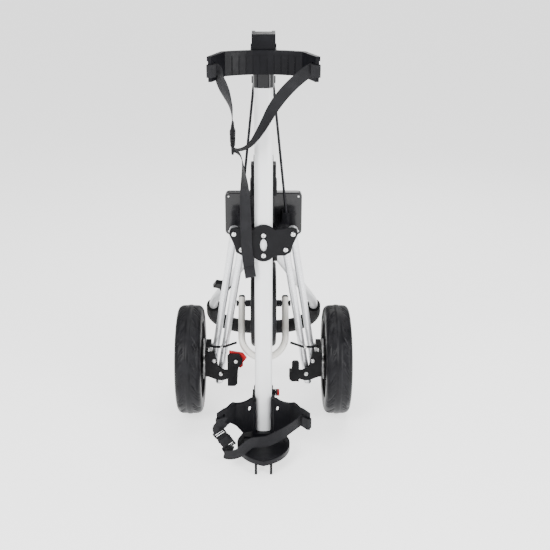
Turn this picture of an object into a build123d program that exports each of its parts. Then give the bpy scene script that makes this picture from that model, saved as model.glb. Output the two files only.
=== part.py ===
from build123d import *

import os
from math import hypot

os.makedirs("parts", exist_ok=True)

# Golf push trolley, folded and standing on its two prongs and its main wheels.
# +Z is up, -Y is the bag side, and X = 0 is the plane of symmetry. All sizes are in mm.
# Depths that end in _d are measured back from the bag side face of the main tube.

# Driving dimensions: main tube
face = -157.75               # Y of the tube's bag side face
tube_w = 40.0
tube_depth = 36.0
tube_wall = 2.0
tube_round = 13.0
tube_low = 47.0
tube_top = 943.0
tube_mid = face + tube_depth / 2

# Upper cradle and the hinge head
cradle_low = 894.0
cradle_top = 943.0
head_top = 974.0
head_half = 24.5
cheek_in = 17.4
pin_d = 66.0
pin_z = 940.0
pin_r = 5.0
knuckle_r = 16.6
knuckle_half = 17.0

# Legs: a parallelogram each side, turning about bolts along Y
outer_top = (65.0, 548.0)
inner_top = (49.0, 512.0)
leg_spread = 58.0
leg_drop = 381.0
leg_lean = 150.0
leg_d = 17.0
leg_r = 8.5
leg_wall = 1.5
leg_y = face + leg_d
leg_length = hypot(leg_spread, leg_drop, leg_lean)
eye_r = 11.0
low_eye_r = 9.4
bolt_r = 3.0
fit = 0.05                  # radial clearance of a running fit

# Main wheels
wheel_x = 186.0
wheel_y = face + 207.0
wheel_z = 140.0
tyre_r = 140.0
tyre_w = 64.0
rim_r = 100.0
axle_r = 6.0
pocket_ring = 42.0          # radius of the ring of brake pockets
pocket_count = 12

# Front fork and wheel
fork_y = face + 60.0
fork_z = 122.0
crown = (face + 107.0, 192.0)
front_y = face + 190.0
front_z = 302.0
front_r = 110.0
front_rim_r = 72.0
fork_half = 54.0
fork_r = 8.3
front_axle_r = 5.0

# Handle
column_y = face + pin_d
column_r = 15.0
column_low = 505.0
column_top = 921.0
console_y = column_y + 19.0
console_w = 175.0
console_low = 517.0
console_high = 617.0
loop_root = (column_y + 18.0, 500.0)
grip = (face + 417.0, 136.0)
loop_r = 11.0
foam_r = 18.5

SIDES = (("left", -1), ("right", 1))


def facing(depth):
    """Plane along X and Z at a depth behind the tube's face; extrusions run towards the bag."""
    return Plane.XZ.offset(-(face + depth))


def along_x(x):
    """Plane along Y and Z at one X; extrusions run towards +X."""
    return Plane.YZ.offset(x)


def write(builder, name):
    builder.part.label = name
    export_step(builder.part, f"parts/{name}.step")


def tube_section(grow, extra=0.0):
    """The main tube's rounded section, grown on every side."""
    with Locations((0, tube_mid)):
        RectangleRounded(tube_w + 2 * grow, tube_depth + 2 * grow + extra, tube_round + grow)


# ---------------------------------------------------------------- main tube
bracket_bolt_z = (498.0, 545.0)
mount_screw_z = (98.0, 146.0)
cradle_bolt_z = 68.0

with BuildPart() as main_tube:
    with BuildSketch(Plane.XY.offset(tube_low)):
        tube_section(0)
        with Locations((0, tube_mid)):
            RectangleRounded(tube_w - 2 * tube_wall, tube_depth - 2 * tube_wall,
                             tube_round - tube_wall, mode=Mode.SUBTRACT)
    extrude(amount=tube_top - tube_low)
    with BuildSketch(facing(tube_depth + 1)):
        with Locations(*[(0, z) for z in bracket_bolt_z + mount_screw_z]):
            Circle(bolt_r + 0.2)
    extrude(amount=tube_depth / 2 + 1, mode=Mode.SUBTRACT)
    with BuildSketch(facing(tube_depth / 2)):
        with Locations(*[(0, z) for z in bracket_bolt_z]):
            Circle(bolt_r + 0.2)
    extrude(amount=tube_depth / 2 + 1, mode=Mode.SUBTRACT)
    with BuildSketch(along_x(-tube_w / 2 - 1)):
        with Locations((face + 13, cradle_bolt_z)):
            Circle(bolt_r + 0.2)
    extrude(amount=tube_w + 2, mode=Mode.SUBTRACT)
write(main_tube, "main_tube")

plug_gap = 0.15
with BuildPart() as tube_plug:
    with BuildSketch(Plane.XY.offset(44.3)):
        tube_section(0)
    extrude(amount=tube_low - 44.4)
    with BuildSketch(Plane.XY.offset(tube_low - 0.2)):
        tube_section(-tube_wall - plug_gap)
        tube_section(-tube_wall - 3, extra=0)
    extrude(amount=12)
write(tube_plug, "tube_plug")

collar_high = 893.7
with BuildPart() as head_collar:
    with BuildSketch(Plane.XY.offset(865)):
        tube_section(1.9)
        with Locations((0, tube_mid)):
            RectangleRounded(tube_w + 0.4, tube_depth + 0.4, tube_round + 0.2, mode=Mode.SUBTRACT)
    extrude(amount=collar_high - 865)
    fillet(head_collar.edges().filter_by(GeomType.LINE, reverse=True).group_by(Axis.Z)[0], 0.5)
write(head_collar, "head_collar")

# ---------------------------------------------------------------- hinge head
with BuildPart() as head_housing:
    with BuildSketch(along_x(-head_half)):
        with BuildLine():
            Polyline((face - 3, cradle_top + 0.3), (face - 3, head_top), (column_y + 4, head_top),
                     (column_y + knuckle_half, pin_z + 16), (column_y + knuckle_half, pin_z - 6),
                     (column_y + 8, pin_z - 17), (column_y - 8, pin_z - 17),
                     (face + 42.5, pin_z - 6), (face + 42.5, cradle_top + 0.3),
                     (face - 3, cradle_top + 0.3))
        make_face()
    extrude(amount=2 * head_half)
    top_edges = head_housing.edges().filter_by(Axis.X).group_by(Axis.Z)[-1]
    fillet(top_edges, 5)
    # slot for the knuckle, open behind, above and below
    with BuildSketch(along_x(-cheek_in)):
        with BuildLine():
            Polyline((face + 46, pin_z - 25), (face + 46, pin_z + 8), (face + 52, head_top + 5),
                     (column_y + 30, head_top + 5), (column_y + 30, pin_z - 25),
                     (face + 46, pin_z - 25))
        make_face()
    extrude(amount=2 * cheek_in, mode=Mode.SUBTRACT)
    with BuildSketch(along_x(-head_half - 1)):
        with Locations((column_y, pin_z)):
            Circle(pin_r + fit)
    extrude(amount=2 * head_half + 2, mode=Mode.SUBTRACT)
    # spigot down inside the main tube
    with BuildSketch(Plane.XY.offset(cradle_top + 0.4)):
        tube_section(-tube_wall - plug_gap)
    extrude(amount=-26)
write(head_housing, "head_housing")

with BuildPart() as head_pin:
    with BuildSketch(along_x(-head_half - 0.3)):
        with Locations((column_y, pin_z)):
            Circle(pin_r)
    extrude(amount=2 * head_half + 0.6)
    for side in (-1, 1):
        with BuildSketch(along_x(side * (head_half + 0.3))):
            with Locations((column_y, pin_z)):
                Circle(8)
        extrude(amount=side * 2.5)
    fillet(head_pin.edges().filter_by(GeomType.CIRCLE).group_by(Axis.X)[0], 1)
    fillet(head_pin.edges().filter_by(GeomType.CIRCLE).group_by(Axis.X)[-1], 1)
write(head_pin, "head_pin")


# ---------------------------------------------------------------- bag cradles
def cradle_outline(half_mid, sag, half_tip, reach, thick, facets):
    """A concave band in plan, open towards the bag: flat facets on a curve, a wing at each end."""
    back = [(half_mid * (2 * i / facets - 1), face - 0.4 - (sag - 0.4) * (2 * i / facets - 1) ** 2)
            for i in range(facets + 1)]
    shrink = (half_mid - thick * 0.9) / half_mid
    front = [(x * shrink, y - thick) for x, y in reversed(back)]
    with BuildLine() as outline:
        Polyline(*back, (half_tip, face - reach), (half_tip - thick, face - reach), *front,
                 (-half_tip + thick, face - reach), (-half_tip, face - reach), back[0])
    make_face(outline.edges())


hub_half = 27.0
band = 7.0
upper_facets = 11
lower_facets = 16
with BuildPart() as upper_cradle:
    with BuildSketch(Plane.XY.offset(cradle_low)):
        cradle_outline(84, 25, 108, 106, band, upper_facets)
    extrude(amount=cradle_top - cradle_low)
    # thicker rolled lip along the top
    with BuildSketch(Plane.XY.offset(cradle_top - 9)):
        cradle_outline(86, 25, 110, 107, band + 2, upper_facets)
    extrude(amount=9)
    # hub that is clamped round the tube
    with BuildSketch(Plane.XY.offset(cradle_low)):
        with Locations((0, face + 19)):
            RectangleRounded(2 * hub_half, 42, 6)
    extrude(amount=cradle_top - cradle_low)
    with BuildSketch(Plane.XY.offset(cradle_low - 1)):
        tube_section(0.2)
    extrude(amount=cradle_top - cradle_low + 2, mode=Mode.SUBTRACT)
    # a slim upright rib on each joint between two facets
    for joint in range(1, upper_facets):
        share = 2 * joint / upper_facets - 1
        with BuildSketch(Plane.XY.offset(cradle_low)):
            with Locations((share * (84 - band * 0.9), face - 0.4 - band - 24.6 * share ** 2)):
                Rectangle(1.6, 2.0)
        extrude(amount=cradle_top - cradle_low - 6)
    # strap slots in the wings
    for side in (-1, 1):
        with BuildSketch(along_x(side * 86)):
            with Locations((face - 90, (cradle_low + cradle_top) / 2 - 3)):
                SlotOverall(30, 7, rotation=90)
        extrude(amount=side * 40, mode=Mode.SUBTRACT)
write(upper_cradle, "upper_cradle")

low_cradle_top = 143.0
wing_low = 99.0
skirt_low = 56.0
with BuildPart() as lower_cradle:
    with BuildSketch(Plane.XY.offset(skirt_low)):
        cradle_outline(70, 22, 107, 78, band, lower_facets)
    extrude(amount=low_cradle_top - skirt_low)
    # scalloped top edge: high beside the tube and at the tips, low between
    with BuildSketch(facing(5)):
        for side in (-1, 1):
            with Locations((side * 52, low_cradle_top + 9)):
                Ellipse(25, 16)
            with Locations((side * 86, low_cradle_top + 13)):
                Ellipse(13, 15)
    extrude(amount=120, mode=Mode.SUBTRACT)
    # lower edge of the bowl, which climbs from the channel to the wings
    with BuildSketch(facing(-8)):
        for side in (-1, 1):
            with BuildLine():
                Polyline((side * 48, skirt_low - 1), (side * 66, 84), (side * 77, wing_low),
                         (side * 120, wing_low), (side * 120, skirt_low - 1), (side * 48, skirt_low - 1))
            make_face()
    extrude(amount=90, mode=Mode.SUBTRACT)
    # channel at the sides of the tube, down to the base plate
    with BuildSketch(Plane.XY.offset(44.3)):
        with Locations((0, face + 5)):
            RectangleRounded(54, 34, 6)
    extrude(amount=low_cradle_top - 4 - 44.3)
    with BuildSketch(Plane.XY.offset(44)):
        tube_section(0.25)
    extrude(amount=120, mode=Mode.SUBTRACT)
    # the channel is open at the front, so the tube shows between two upright ribs above a low sill
    with BuildSketch(Plane.XY.offset(50)):
        with Locations((0, face - 14)):
            Rectangle(tube_w - 3, 40)
    extrude(amount=120, mode=Mode.SUBTRACT)
    # cross bolt hole, two elongated holes and the strap slots
    with BuildSketch(along_x(-30)):
        with Locations((face + 13, cradle_bolt_z)):
            Circle(bolt_r + 0.2)
    extrude(amount=60, mode=Mode.SUBTRACT)
    with BuildSketch(facing(30)):
        with Locations((-33, 117), (33, 117)):
            SlotOverall(14, 5, rotation=80)
    extrude(amount=60, mode=Mode.SUBTRACT)
    for side in (-1, 1):
        with BuildSketch(along_x(side * 84)):
            with Locations((face - 66, 120)):
                SlotOverall(28, 6, rotation=90)
        extrude(amount=side * 40, mode=Mode.SUBTRACT)
write(lower_cradle, "lower_cradle")

plate_low = 25.0
plate_high = 44.0
prong_x = 17.5
prong_d = -103.0


def plate_outline(grow):
    """Outline of the base plate: straight behind the tube, a wide round front."""
    with BuildLine() as outline:
        Polyline((-40 - grow, face + 30 + grow), (40 + grow, face + 30 + grow), (60 + grow, face - 20))
        ThreePointArc((60 + grow, face - 20), (42 + grow, face - 94 - grow), (0, face - 121 - grow))
        ThreePointArc((0, face - 121 - grow), (-42 - grow, face - 94 - grow), (-60 - grow, face - 20))
        Line((-60 - grow, face - 20), (-40 - grow, face + 30 + grow))
    make_face(outline.edges())


with BuildPart() as base_plate:
    with BuildSketch(Plane.XY.offset(plate_low)):
        plate_outline(-7)
    extrude(amount=8)
    with BuildSketch(Plane.XY.offset(plate_low + 5)):
        plate_outline(0)
    extrude(amount=plate_high - plate_low - 7)
    with BuildSketch(Plane.XY.offset(plate_high - 3)):
        plate_outline(-1.5)
    extrude(amount=3)
    # shallow dish in the top
    with BuildSketch(Plane.XY.offset(plate_high - 2.5)):
        with BuildLine():
            Polyline((-46, face - 16), (46, face - 16), (50, face - 34))
            ThreePointArc((50, face - 34), (35, face - 88), (0, face - 110))
            ThreePointArc((0, face - 110), (-35, face - 88), (-50, face - 34))
            Polyline((-50, face - 34), (-46, face - 16))
        make_face()
    extrude(amount=5, mode=Mode.SUBTRACT)
    # the two prongs that the folded trolley stands on
    with BuildSketch(Plane.XY):
        with Locations((-prong_x, face + prong_d), (prong_x, face + prong_d)):
            RectangleRounded(6, 13, 2)
    extrude(amount=plate_low + 0.1)
write(base_plate, "base_plate")


# ---------------------------------------------------------------- centre bracket
def bracket_outline():
    """Front plate of the centre bracket: rounded over the tube, with a wing to each pair of legs."""
    with BuildLine() as outline:
        ThreePointArc((24, 557), (0, 569), (-24, 557))
        Polyline((-24, 557), (-62, 563), (-73, 560), (-76, 548), (-64, 521), (-61, 506),
                 (-48, 498), (-23, 497))
        ThreePointArc((-23, 497), (0, 484), (23, 497))
        Polyline((23, 497), (48, 498), (61, 506), (64, 521), (76, 548), (73, 560), (62, 563),
                 (24, 557))
    make_face(outline.edges())


pivots = [(side * x, z) for side in (-1, 1) for x, z in (outer_top, inner_top)]
with BuildPart() as bracket_front:
    with BuildSketch(facing(-0.3)):
        bracket_outline()
    extrude(amount=5)
    outline_edges = bracket_front.edges().group_by(Axis.Y)[0]
    fillet(outline_edges, 1.2)
    with BuildSketch(facing(-0.4)):
        with Locations(*pivots):
            Circle(10)
    extrude(amount=-9.0)
    with BuildSketch(facing(-0.4)):
        with Locations((-24, 527), (24, 527)):
            Rectangle(6, 56)
    extrude(amount=-22)
    with BuildSketch(facing(12)):
        with Locations(*pivots):
            Circle(bolt_r + fit)
        with Locations(*[(0, z) for z in bracket_bolt_z]):
            Circle(bolt_r + 0.2)
        with Locations((0, 522)):
            Ellipse(7.5, 15)
    extrude(amount=30, mode=Mode.SUBTRACT)
write(bracket_front, "bracket_front")

with BuildPart() as bracket_rear:
    with BuildSketch(facing(tube_depth + 4.3)):
        with Locations((0, 524)):
            RectangleRounded(56, 74, 10)
    extrude(amount=4)
    with BuildSketch(facing(tube_depth + 0.4)):
        with Locations((-24, 524), (24, 524)):
            Rectangle(6, 50)
    extrude(amount=12)
    with BuildSketch(facing(tube_depth + 6)):
        with Locations(*[(0, z) for z in bracket_bolt_z]):
            Circle(bolt_r + 0.2)
    extrude(amount=8, mode=Mode.SUBTRACT)
write(bracket_rear, "bracket_rear")


def bolt_group(places, head_d, nut_d, head=3.0, nut=4.5):
    """Pan-headed bolts along Y with hexagon nuts, from the head's seat to the nut's far face."""
    with BuildSketch(facing(nut_d)) as shanks:
        with Locations(*places):
            Circle(bolt_r)
    extrude(shanks.sketch, amount=nut_d - head_d + 0.5)
    with BuildSketch(facing(head_d)) as heads:
        with Locations(*places):
            Circle(5.6)
    extrude(heads.sketch, amount=head, taper=22)
    with BuildSketch(facing(nut_d)) as nuts:
        with Locations(*places):
            RegularPolygon(5.6, 6)
    extrude(nuts.sketch, amount=nut)


with BuildPart() as leg_pivot_bolts:
    bolt_group(pivots, -5.4, leg_d + 19)
write(leg_pivot_bolts, "leg_pivot_bolts")

# ---------------------------------------------------------------- fork mount on the tube's back
mount_cheek = 23.0
with BuildPart() as fork_mount:
    with BuildSketch(facing(tube_depth + 4.6)):
        with Locations((0, fork_z)):
            RectangleRounded(2 * mount_cheek, 66, 6)
    extrude(amount=4.4)
    for side in (-1, 1):
        with BuildSketch(along_x(side * cheek_in)):
            with BuildLine():
                Polyline((face + 37, fork_z - 27), (face + 37, fork_z + 27), (fork_y, fork_z + 13),
                         (fork_y + 12, fork_z + 5), (fork_y + 12, fork_z - 5),
                         (fork_y, fork_z - 13), (face + 37, fork_z - 27))
            make_face()
            with Locations((fork_y, fork_z)):
                Circle(13)
        extrude(amount=side * (mount_cheek - cheek_in))
    with BuildSketch(along_x(-30)):
        with Locations((fork_y, fork_z)):
            Circle(pin_r + fit)
    extrude(amount=60, mode=Mode.SUBTRACT)
    with BuildSketch(facing(50)):
        with Locations(*[(0, z) for z in mount_screw_z]):
            Circle(bolt_r + 0.2)
    extrude(amount=20, mode=Mode.SUBTRACT)
write(fork_mount, "fork_mount")

with BuildPart() as fork_pivot_pin:
    with BuildSketch(along_x(-mount_cheek - 0.3)):
        with Locations((fork_y, fork_z)):
            Circle(pin_r)
    extrude(amount=2 * mount_cheek + 0.6)
    with BuildSketch(along_x(-mount_cheek - 0.3)):
        with Locations((fork_y, fork_z)):
            Circle(8)
    extrude(amount=-3)
    with BuildSketch(along_x(mount_cheek + 0.3)):
        with Locations((fork_y, fork_z)):
            Circle(8)
    extrude(amount=6)
    with BuildSketch(along_x(mount_cheek + 6)):
        with Locations((fork_y, fork_z)):
            Circle(3)
    extrude(amount=6)
write(fork_pivot_pin, "fork_pivot_pin")

knob_r = 8.5
with BuildPart() as fork_clamp_knob:
    with BuildSketch(along_x(mount_cheek + 6.7)):
        with Locations((fork_y, fork_z)):
            Circle(knob_r)
    extrude(amount=9)
    fillet(fork_clamp_knob.edges().group_by(Axis.X)[-1], 1.5)
    with BuildSketch(along_x(mount_cheek + 6)):
        with Locations((fork_y, fork_z)):
            Circle(3 + fit)
    extrude(amount=6.5, mode=Mode.SUBTRACT)
    with BuildSketch(along_x(mount_cheek + 6)):
        with Locations((fork_y, fork_z)):
            with PolarLocations(knob_r + 0.8, 8):
                Circle(1.8)
    extrude(amount=12, mode=Mode.SUBTRACT)
write(fork_clamp_knob, "fork_clamp_knob")

with BuildPart() as frame_bolts:
    # two bolts right through the centre bracket and the tube
    bolt_group([(0, z) for z in bracket_bolt_z], -5.4, tube_depth + 9)
    # the lower cradle's bolt runs across the tube, the fork mount's screws enter from behind
    with BuildSketch(along_x(-27.4)):
        with Locations((face + 13, cradle_bolt_z)):
            Circle(bolt_r)
    extrude(amount=54.8)
    for side in (-1, 1):
        with BuildSketch(along_x(side * 27.3)):
            with Locations((face + 13, cradle_bolt_z)):
                Circle(5)
        extrude(amount=side * 2.5, taper=20)
    with BuildSketch(facing(tube_depth + 5)):
        with Locations(*[(0, z) for z in mount_screw_z]):
            Circle(bolt_r)
    extrude(amount=12)
    with BuildSketch(facing(tube_depth + 4.9)):
        with Locations(*[(0, z) for z in mount_screw_z]):
            Circle(4.6)
    extrude(amount=-1.6)
write(frame_bolts, "frame_bolts")


# ---------------------------------------------------------------- legs
def leg_plane(side, top):
    """Plane at a leg's upper pivot, with its normal running down the leg."""
    return Plane(origin=(side * top[0], leg_y, top[1]), z_dir=(side * leg_spread, leg_lean, -leg_drop))


def bottom_of(side, top):
    return (side * (top[0] + leg_spread), top[1] - leg_drop)


eye_gap = 17.0
plug_r = leg_r - leg_wall - 0.1
tail = 44.0
lower_d = leg_d + leg_lean
plate_d = 147.3             # rear face of the carriers' front plates
for name, side in SIDES:
    outer_low = bottom_of(side, outer_top)
    inner_low = bottom_of(side, inner_top)

    with BuildPart() as outer_leg:
        with BuildSketch(leg_plane(side, outer_top).offset(eye_gap)):
            Circle(leg_r)
            Circle(leg_r - leg_wall, mode=Mode.SUBTRACT)
        extrude(amount=leg_length - 2 * eye_gap)
    write(outer_leg, f"{name}_outer_leg")

    with BuildPart() as outer_leg_eyes:
        with BuildSketch(leg_plane(side, outer_top)):
            Circle(leg_r)
        extrude(amount=eye_gap - 0.1)
        with BuildSketch(leg_plane(side, outer_top)):
            Circle(plug_r)
        extrude(amount=40)
        with BuildSketch(leg_plane(side, outer_top).offset(leg_length)):
            Circle(leg_r)
        extrude(amount=-eye_gap + 0.1)
        with BuildSketch(leg_plane(side, outer_top).offset(leg_length)):
            Circle(plug_r)
        extrude(amount=-40)
        with BuildSketch(facing(leg_d + 8)):
            with Locations((side * outer_top[0], outer_top[1])):
                Circle(eye_r)
        extrude(amount=16)
        with BuildSketch(facing(lower_d + 8)):
            with Locations(outer_low):
                Circle(low_eye_r)
        extrude(amount=lower_d + 7.7 - plate_d)
        with BuildSketch(facing(lower_d + 40)):
            with Locations((side * outer_top[0], outer_top[1]), outer_low):
                Circle(bolt_r + fit)
        extrude(amount=lower_d + 60, mode=Mode.SUBTRACT)
    write(outer_leg_eyes, f"{name}_outer_leg_eyes")

    with BuildPart() as inner_leg:
        with BuildSketch(leg_plane(side, inner_top).offset(eye_gap)):
            Circle(leg_r)
            Circle(leg_r - leg_wall, mode=Mode.SUBTRACT)
        extrude(amount=leg_length - eye_gap + tail)
        with BuildSketch(facing(lower_d + 25)):
            with Locations(inner_low):
                Circle(bolt_r + fit)
        extrude(amount=50, mode=Mode.SUBTRACT)
    write(inner_leg, f"{name}_inner_leg")

    with BuildPart() as inner_leg_ends:
        with BuildSketch(leg_plane(side, inner_top)):
            Circle(leg_r)
        extrude(amount=eye_gap - 0.1)
        with BuildSketch(leg_plane(side, inner_top)):
            Circle(plug_r)
        extrude(amount=40)
        with BuildSketch(facing(leg_d + 8)):
            with Locations((side * inner_top[0], inner_top[1])):
                Circle(eye_r)
        extrude(amount=16)
        with BuildSketch(facing(leg_d + 40)):
            with Locations((side * inner_top[0], inner_top[1])):
                Circle(bolt_r + fit)
        extrude(amount=60, mode=Mode.SUBTRACT)
        with BuildSketch(leg_plane(side, inner_top).offset(leg_length + tail + 0.1)):
            Circle(leg_r + 0.6)
        extrude(amount=4)
        with BuildSketch(leg_plane(side, inner_top).offset(leg_length + tail + 4)):
            Circle(leg_r + 0.6)
        extrude(amount=4, taper=35)
        with BuildSketch(leg_plane(side, inner_top).offset(leg_length + tail + 1)):
            Circle(plug_r)
        extrude(amount=-18)
    write(inner_leg_ends, f"{name}_inner_leg_ends")

# ---------------------------------------------------------------- wheel carriers and parking brake
block_in = 133.0
block_out = 146.0
brake_pin_r = 4.0
pedal_pivot = (-67.0, 191.0)
cheek_d = 88.0              # bag side face of the cheek that covers the pedal
cheek_thick = 10.0
pedal_near = cheek_d + cheek_thick + 0.5
pedal_thick = 8.0
for name, side in SIDES:
    outer_low = bottom_of(side, outer_top)
    inner_low = bottom_of(side, inner_top)

    with BuildPart() as carrier:
        with BuildSketch(facing(plate_d - 0.3)):
            with BuildLine():
                Polyline((side * 146, 190), (side * 122, 190), (side * 113, 150), (side * 98, 140),
                         (side * 64, 140), (side * 64, 122), (side * 92, 116), (side * 104, 112),
                         (side * 118, 114), (side * 146, 126), (side * 146, 190))
            make_face()
        extrude(amount=7)
        with BuildSketch(along_x(side * block_in)):
            with BuildLine():
                Polyline((face + 142, 124), (face + 142, 190), (face + 160, 192), (face + 216, 192),
                         (face + 230, 170), (face + 230, 126), (face + 214, 114), (face + 160, 112),
                         (face + 142, 124))
            make_face()
        extrude(amount=side * (block_out - block_in))
        # inboard arm: it carries the foot pedal on the left, and is plain on the right
        arm_near = cheek_d if side < 0 else 112
        with BuildSketch(facing(142.5)):
            with BuildLine():
                Polyline((side * 88, 124), (side * 88, 150), (side * 64, 150),
                         (side * 64, 130), (side * 70, 124), (side * 88, 124))
            make_face()
        extrude(amount=142.5 - arm_near)
        with BuildSketch(facing(arm_near + cheek_thick)):
            with BuildLine():
                if side < 0:
                    Polyline((-88, 146), (-88, 204), (-82, 209), (-59, 208), (-51, 195), (-53, 184),
                             (-61, 174), (-63, 160), (-70, 146), (-88, 146))
                else:
                    Polyline((88, 146), (88, 174), (84, 178), (74, 178), (70, 174), (70, 146), (88, 146))
            make_face()
        extrude(amount=cheek_thick)
        with BuildSketch(along_x(side * block_in)):
            with Locations((wheel_y, wheel_z)):
                Circle(axle_r + fit)
            with Locations((wheel_y, wheel_z + pocket_ring)):
                Circle(brake_pin_r + fit)
        extrude(amount=side * 40, mode=Mode.SUBTRACT)
        # the upper part of the arm is cut back clear of the inner leg's swing
        with BuildSketch(along_x(side * 60)):
            with BuildLine():
                Polyline((face + 134, 142), (face + 134, 180), (face + 150, 180), (face + 150, 150),
                         (face + 143, 142), (face + 134, 142))
            make_face()
        extrude(amount=side * 34, mode=Mode.SUBTRACT)
        with BuildSketch(facing(plate_d + 1)):
            with Locations(outer_low, inner_low):
                Circle(bolt_r + fit)
        extrude(amount=14, mode=Mode.SUBTRACT)
        if side < 0:
            with BuildSketch(facing(140)):
                with Locations(pedal_pivot):
                    Circle(bolt_r + 0.2)
            extrude(amount=60, mode=Mode.SUBTRACT)
    write(carrier, f"{name}_wheel_carrier")

    with BuildPart() as hardware:
        bolt_group([outer_low, inner_low], plate_d - 7.4, lower_d + 18)
        with BuildSketch(along_x(side * (block_in - 0.1))):
            with Locations((wheel_y, wheel_z)):
                Circle(axle_r)
        extrude(amount=side * (210 - block_in))
        with BuildSketch(along_x(side * (block_out + 0.3))):
            with Locations((wheel_y, wheel_z)):
                Circle(9)
        extrude(amount=side * 6.2)
        with BuildSketch(along_x(side * 209.5)):
            with Locations((wheel_y, wheel_z)):
                RegularPolygon(9.5, 6)
        extrude(amount=side * 5)
        with BuildSketch(along_x(side * (block_in - 0.3))):
            with Locations((wheel_y, wheel_z)):
                RegularPolygon(9.5, 6)
        extrude(amount=-side * 5)
        if side < 0:
            pedal_nut = pedal_near + pedal_thick + 4
            with BuildSketch(facing(pedal_nut)):
                with Locations(pedal_pivot):
                    Circle(bolt_r)
            extrude(amount=pedal_nut - cheek_d + 0.3)
            with BuildSketch(facing(pedal_nut)):
                with Locations(pedal_pivot):
                    RegularPolygon(5.6, 6)
            extrude(amount=3.6)
            with BuildSketch(facing(cheek_d - 0.1)):
                with Locations(pedal_pivot):
                    Circle(5)
            extrude(amount=2.5, taper=20)
    write(hardware, f"{name}_carrier_bolts")

    with BuildPart() as brake_pin:
        with BuildSketch(along_x(side * (block_in - 6))):
            with Locations((wheel_y, wheel_z + pocket_ring)):
                Circle(brake_pin_r)
        extrude(amount=side * (block_out - block_in + 5.5))
        chamfer(brake_pin.edges().sort_by(Axis.X)[-1 if side > 0 else 0], 0.8)
    write(brake_pin, f"{name}_brake_pin")

with BuildPart() as brake_pedal:
    with BuildSketch(facing(pedal_near + pedal_thick)):
        with BuildLine():
            Polyline((-84, 204), (-84, 213), (-50, 207), (-41, 195), (-50, 184), (-50, 174),
                     (-57, 168), (-63, 176), (-74, 184), (-77, 196), (-84, 204))
        make_face()
    extrude(amount=pedal_thick)
    with BuildSketch(facing(140)):
        with Locations(pedal_pivot):
            Circle(bolt_r + fit)
    extrude(amount=60, mode=Mode.SUBTRACT)
write(brake_pedal, "brake_pedal")

# ---------------------------------------------------------------- main wheels
hub_near = 153.0
hub_far = 209.0
bearing_r = 14.0
bearing_w = 8.0
for name, side in SIDES:
    with BuildPart() as rim:
        with BuildSketch(Plane.XY):
            with BuildLine():
                Polyline((side * hub_near, bearing_r + 0.05), (side * hub_near, 52), (side * 168, 52),
                         (side * 172, 30), (side * 181, 28), (side * 183, 90), (side * 163, 92),
                         (side * 161, rim_r), (side * 213, rim_r), (side * 211, 92),
                         (side * 195, 90), (side * 193, 28), (side * 203, 22),
                         (side * hub_far, 20), (side * hub_far, bearing_r + 0.05),
                         (side * (hub_far - bearing_w), bearing_r + 0.05),
                         (side * (hub_far - bearing_w), 9), (side * (hub_near + bearing_w), 9),
                         (side * (hub_near + bearing_w), bearing_r + 0.05),
                         (side * hub_near, bearing_r + 0.05))
            make_face()
        revolve(axis=Axis.X)
        with BuildSketch(along_x(side * 176)):
            with PolarLocations(63, 6):
                SlotOverall(30, 24, rotation=90)
        extrude(amount=side * 24, mode=Mode.SUBTRACT)
        with BuildSketch(along_x(side * (hub_near - 1))):
            with PolarLocations(pocket_ring, pocket_count, start_angle=90):
                Circle(5.5)
        extrude(amount=side * 13, mode=Mode.SUBTRACT)
    rim_part = rim.part.moved(Location((0, wheel_y, wheel_z)))
    rim_part.label = f"{name}_wheel_rim"
    export_step(rim_part, f"parts/{name}_wheel_rim.step")

    with BuildPart() as tyre:
        with BuildSketch(Plane.XY):
            near = wheel_x - tyre_w / 2
            far = wheel_x + tyre_w / 2
            with BuildLine():
                Polyline((side * (near + 3), rim_r + 0.1), (side * near, 108), (side * near, 127))
                ThreePointArc((side * near, 127), (side * (near + 3), 135), (side * (near + 11), 138.4))
                Polyline((side * (near + 11), 138.4), (side * (near + 23), 139.3),
                         (side * (near + 24), 137.5), (side * (near + 26), 137.5),
                         (side * (near + 27), tyre_r), (side * (far - 27), tyre_r),
                         (side * (far - 26), 137.5), (side * (far - 24), 137.5),
                         (side * (far - 23), 139.3), (side * (far - 11), 138.4))
                ThreePointArc((side * (far - 11), 138.4), (side * (far - 3), 135), (side * far, 127))
                Polyline((side * far, 127), (side * far, 108), (side * (far - 3), rim_r + 0.1),
                         (side * (near + 3), rim_r + 0.1))
            make_face()
        revolve(axis=Axis.X)
    tyre_part = tyre.part.moved(Location((0, wheel_y, wheel_z)))
    tyre_part.label = f"{name}_tyre"
    export_step(tyre_part, f"parts/{name}_tyre.step")

    with BuildPart() as bearings:
        with BuildSketch(along_x(side * (hub_near + 0.1))):
            with Locations((wheel_y, wheel_z)):
                Circle(bearing_r)
                Circle(axle_r + fit, mode=Mode.SUBTRACT)
        extrude(amount=side * (bearing_w - 0.2))
        with BuildSketch(along_x(side * (hub_far - 0.1))):
            with Locations((wheel_y, wheel_z)):
                Circle(bearing_r)
                Circle(axle_r + fit, mode=Mode.SUBTRACT)
        extrude(amount=-side * (bearing_w - 0.2))
    write(bearings, f"{name}_wheel_bearings")


# ---------------------------------------------------------------- front fork and wheel
def fork_plane():
    """Plane of the U-shaped fork: local X across, local Y from the crown up to the axle."""
    run_y = front_y - crown[0]
    run_z = front_z - crown[1]
    return Plane(origin=(0, crown[0], crown[1]), x_dir=(1, 0, 0), z_dir=(0, -run_z, run_y))


fork_reach = hypot(front_y - crown[0], front_z - crown[1])
fork_top = fork_reach + 15


def fork_path(top):
    """Centre line of the U: two straight arms and a half circle."""
    Line((-fork_half, top), (-fork_half, fork_half))
    ThreePointArc((-fork_half, fork_half), (0, 0), (fork_half, fork_half))
    Line((fork_half, fork_half), (fork_half, top))


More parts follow.
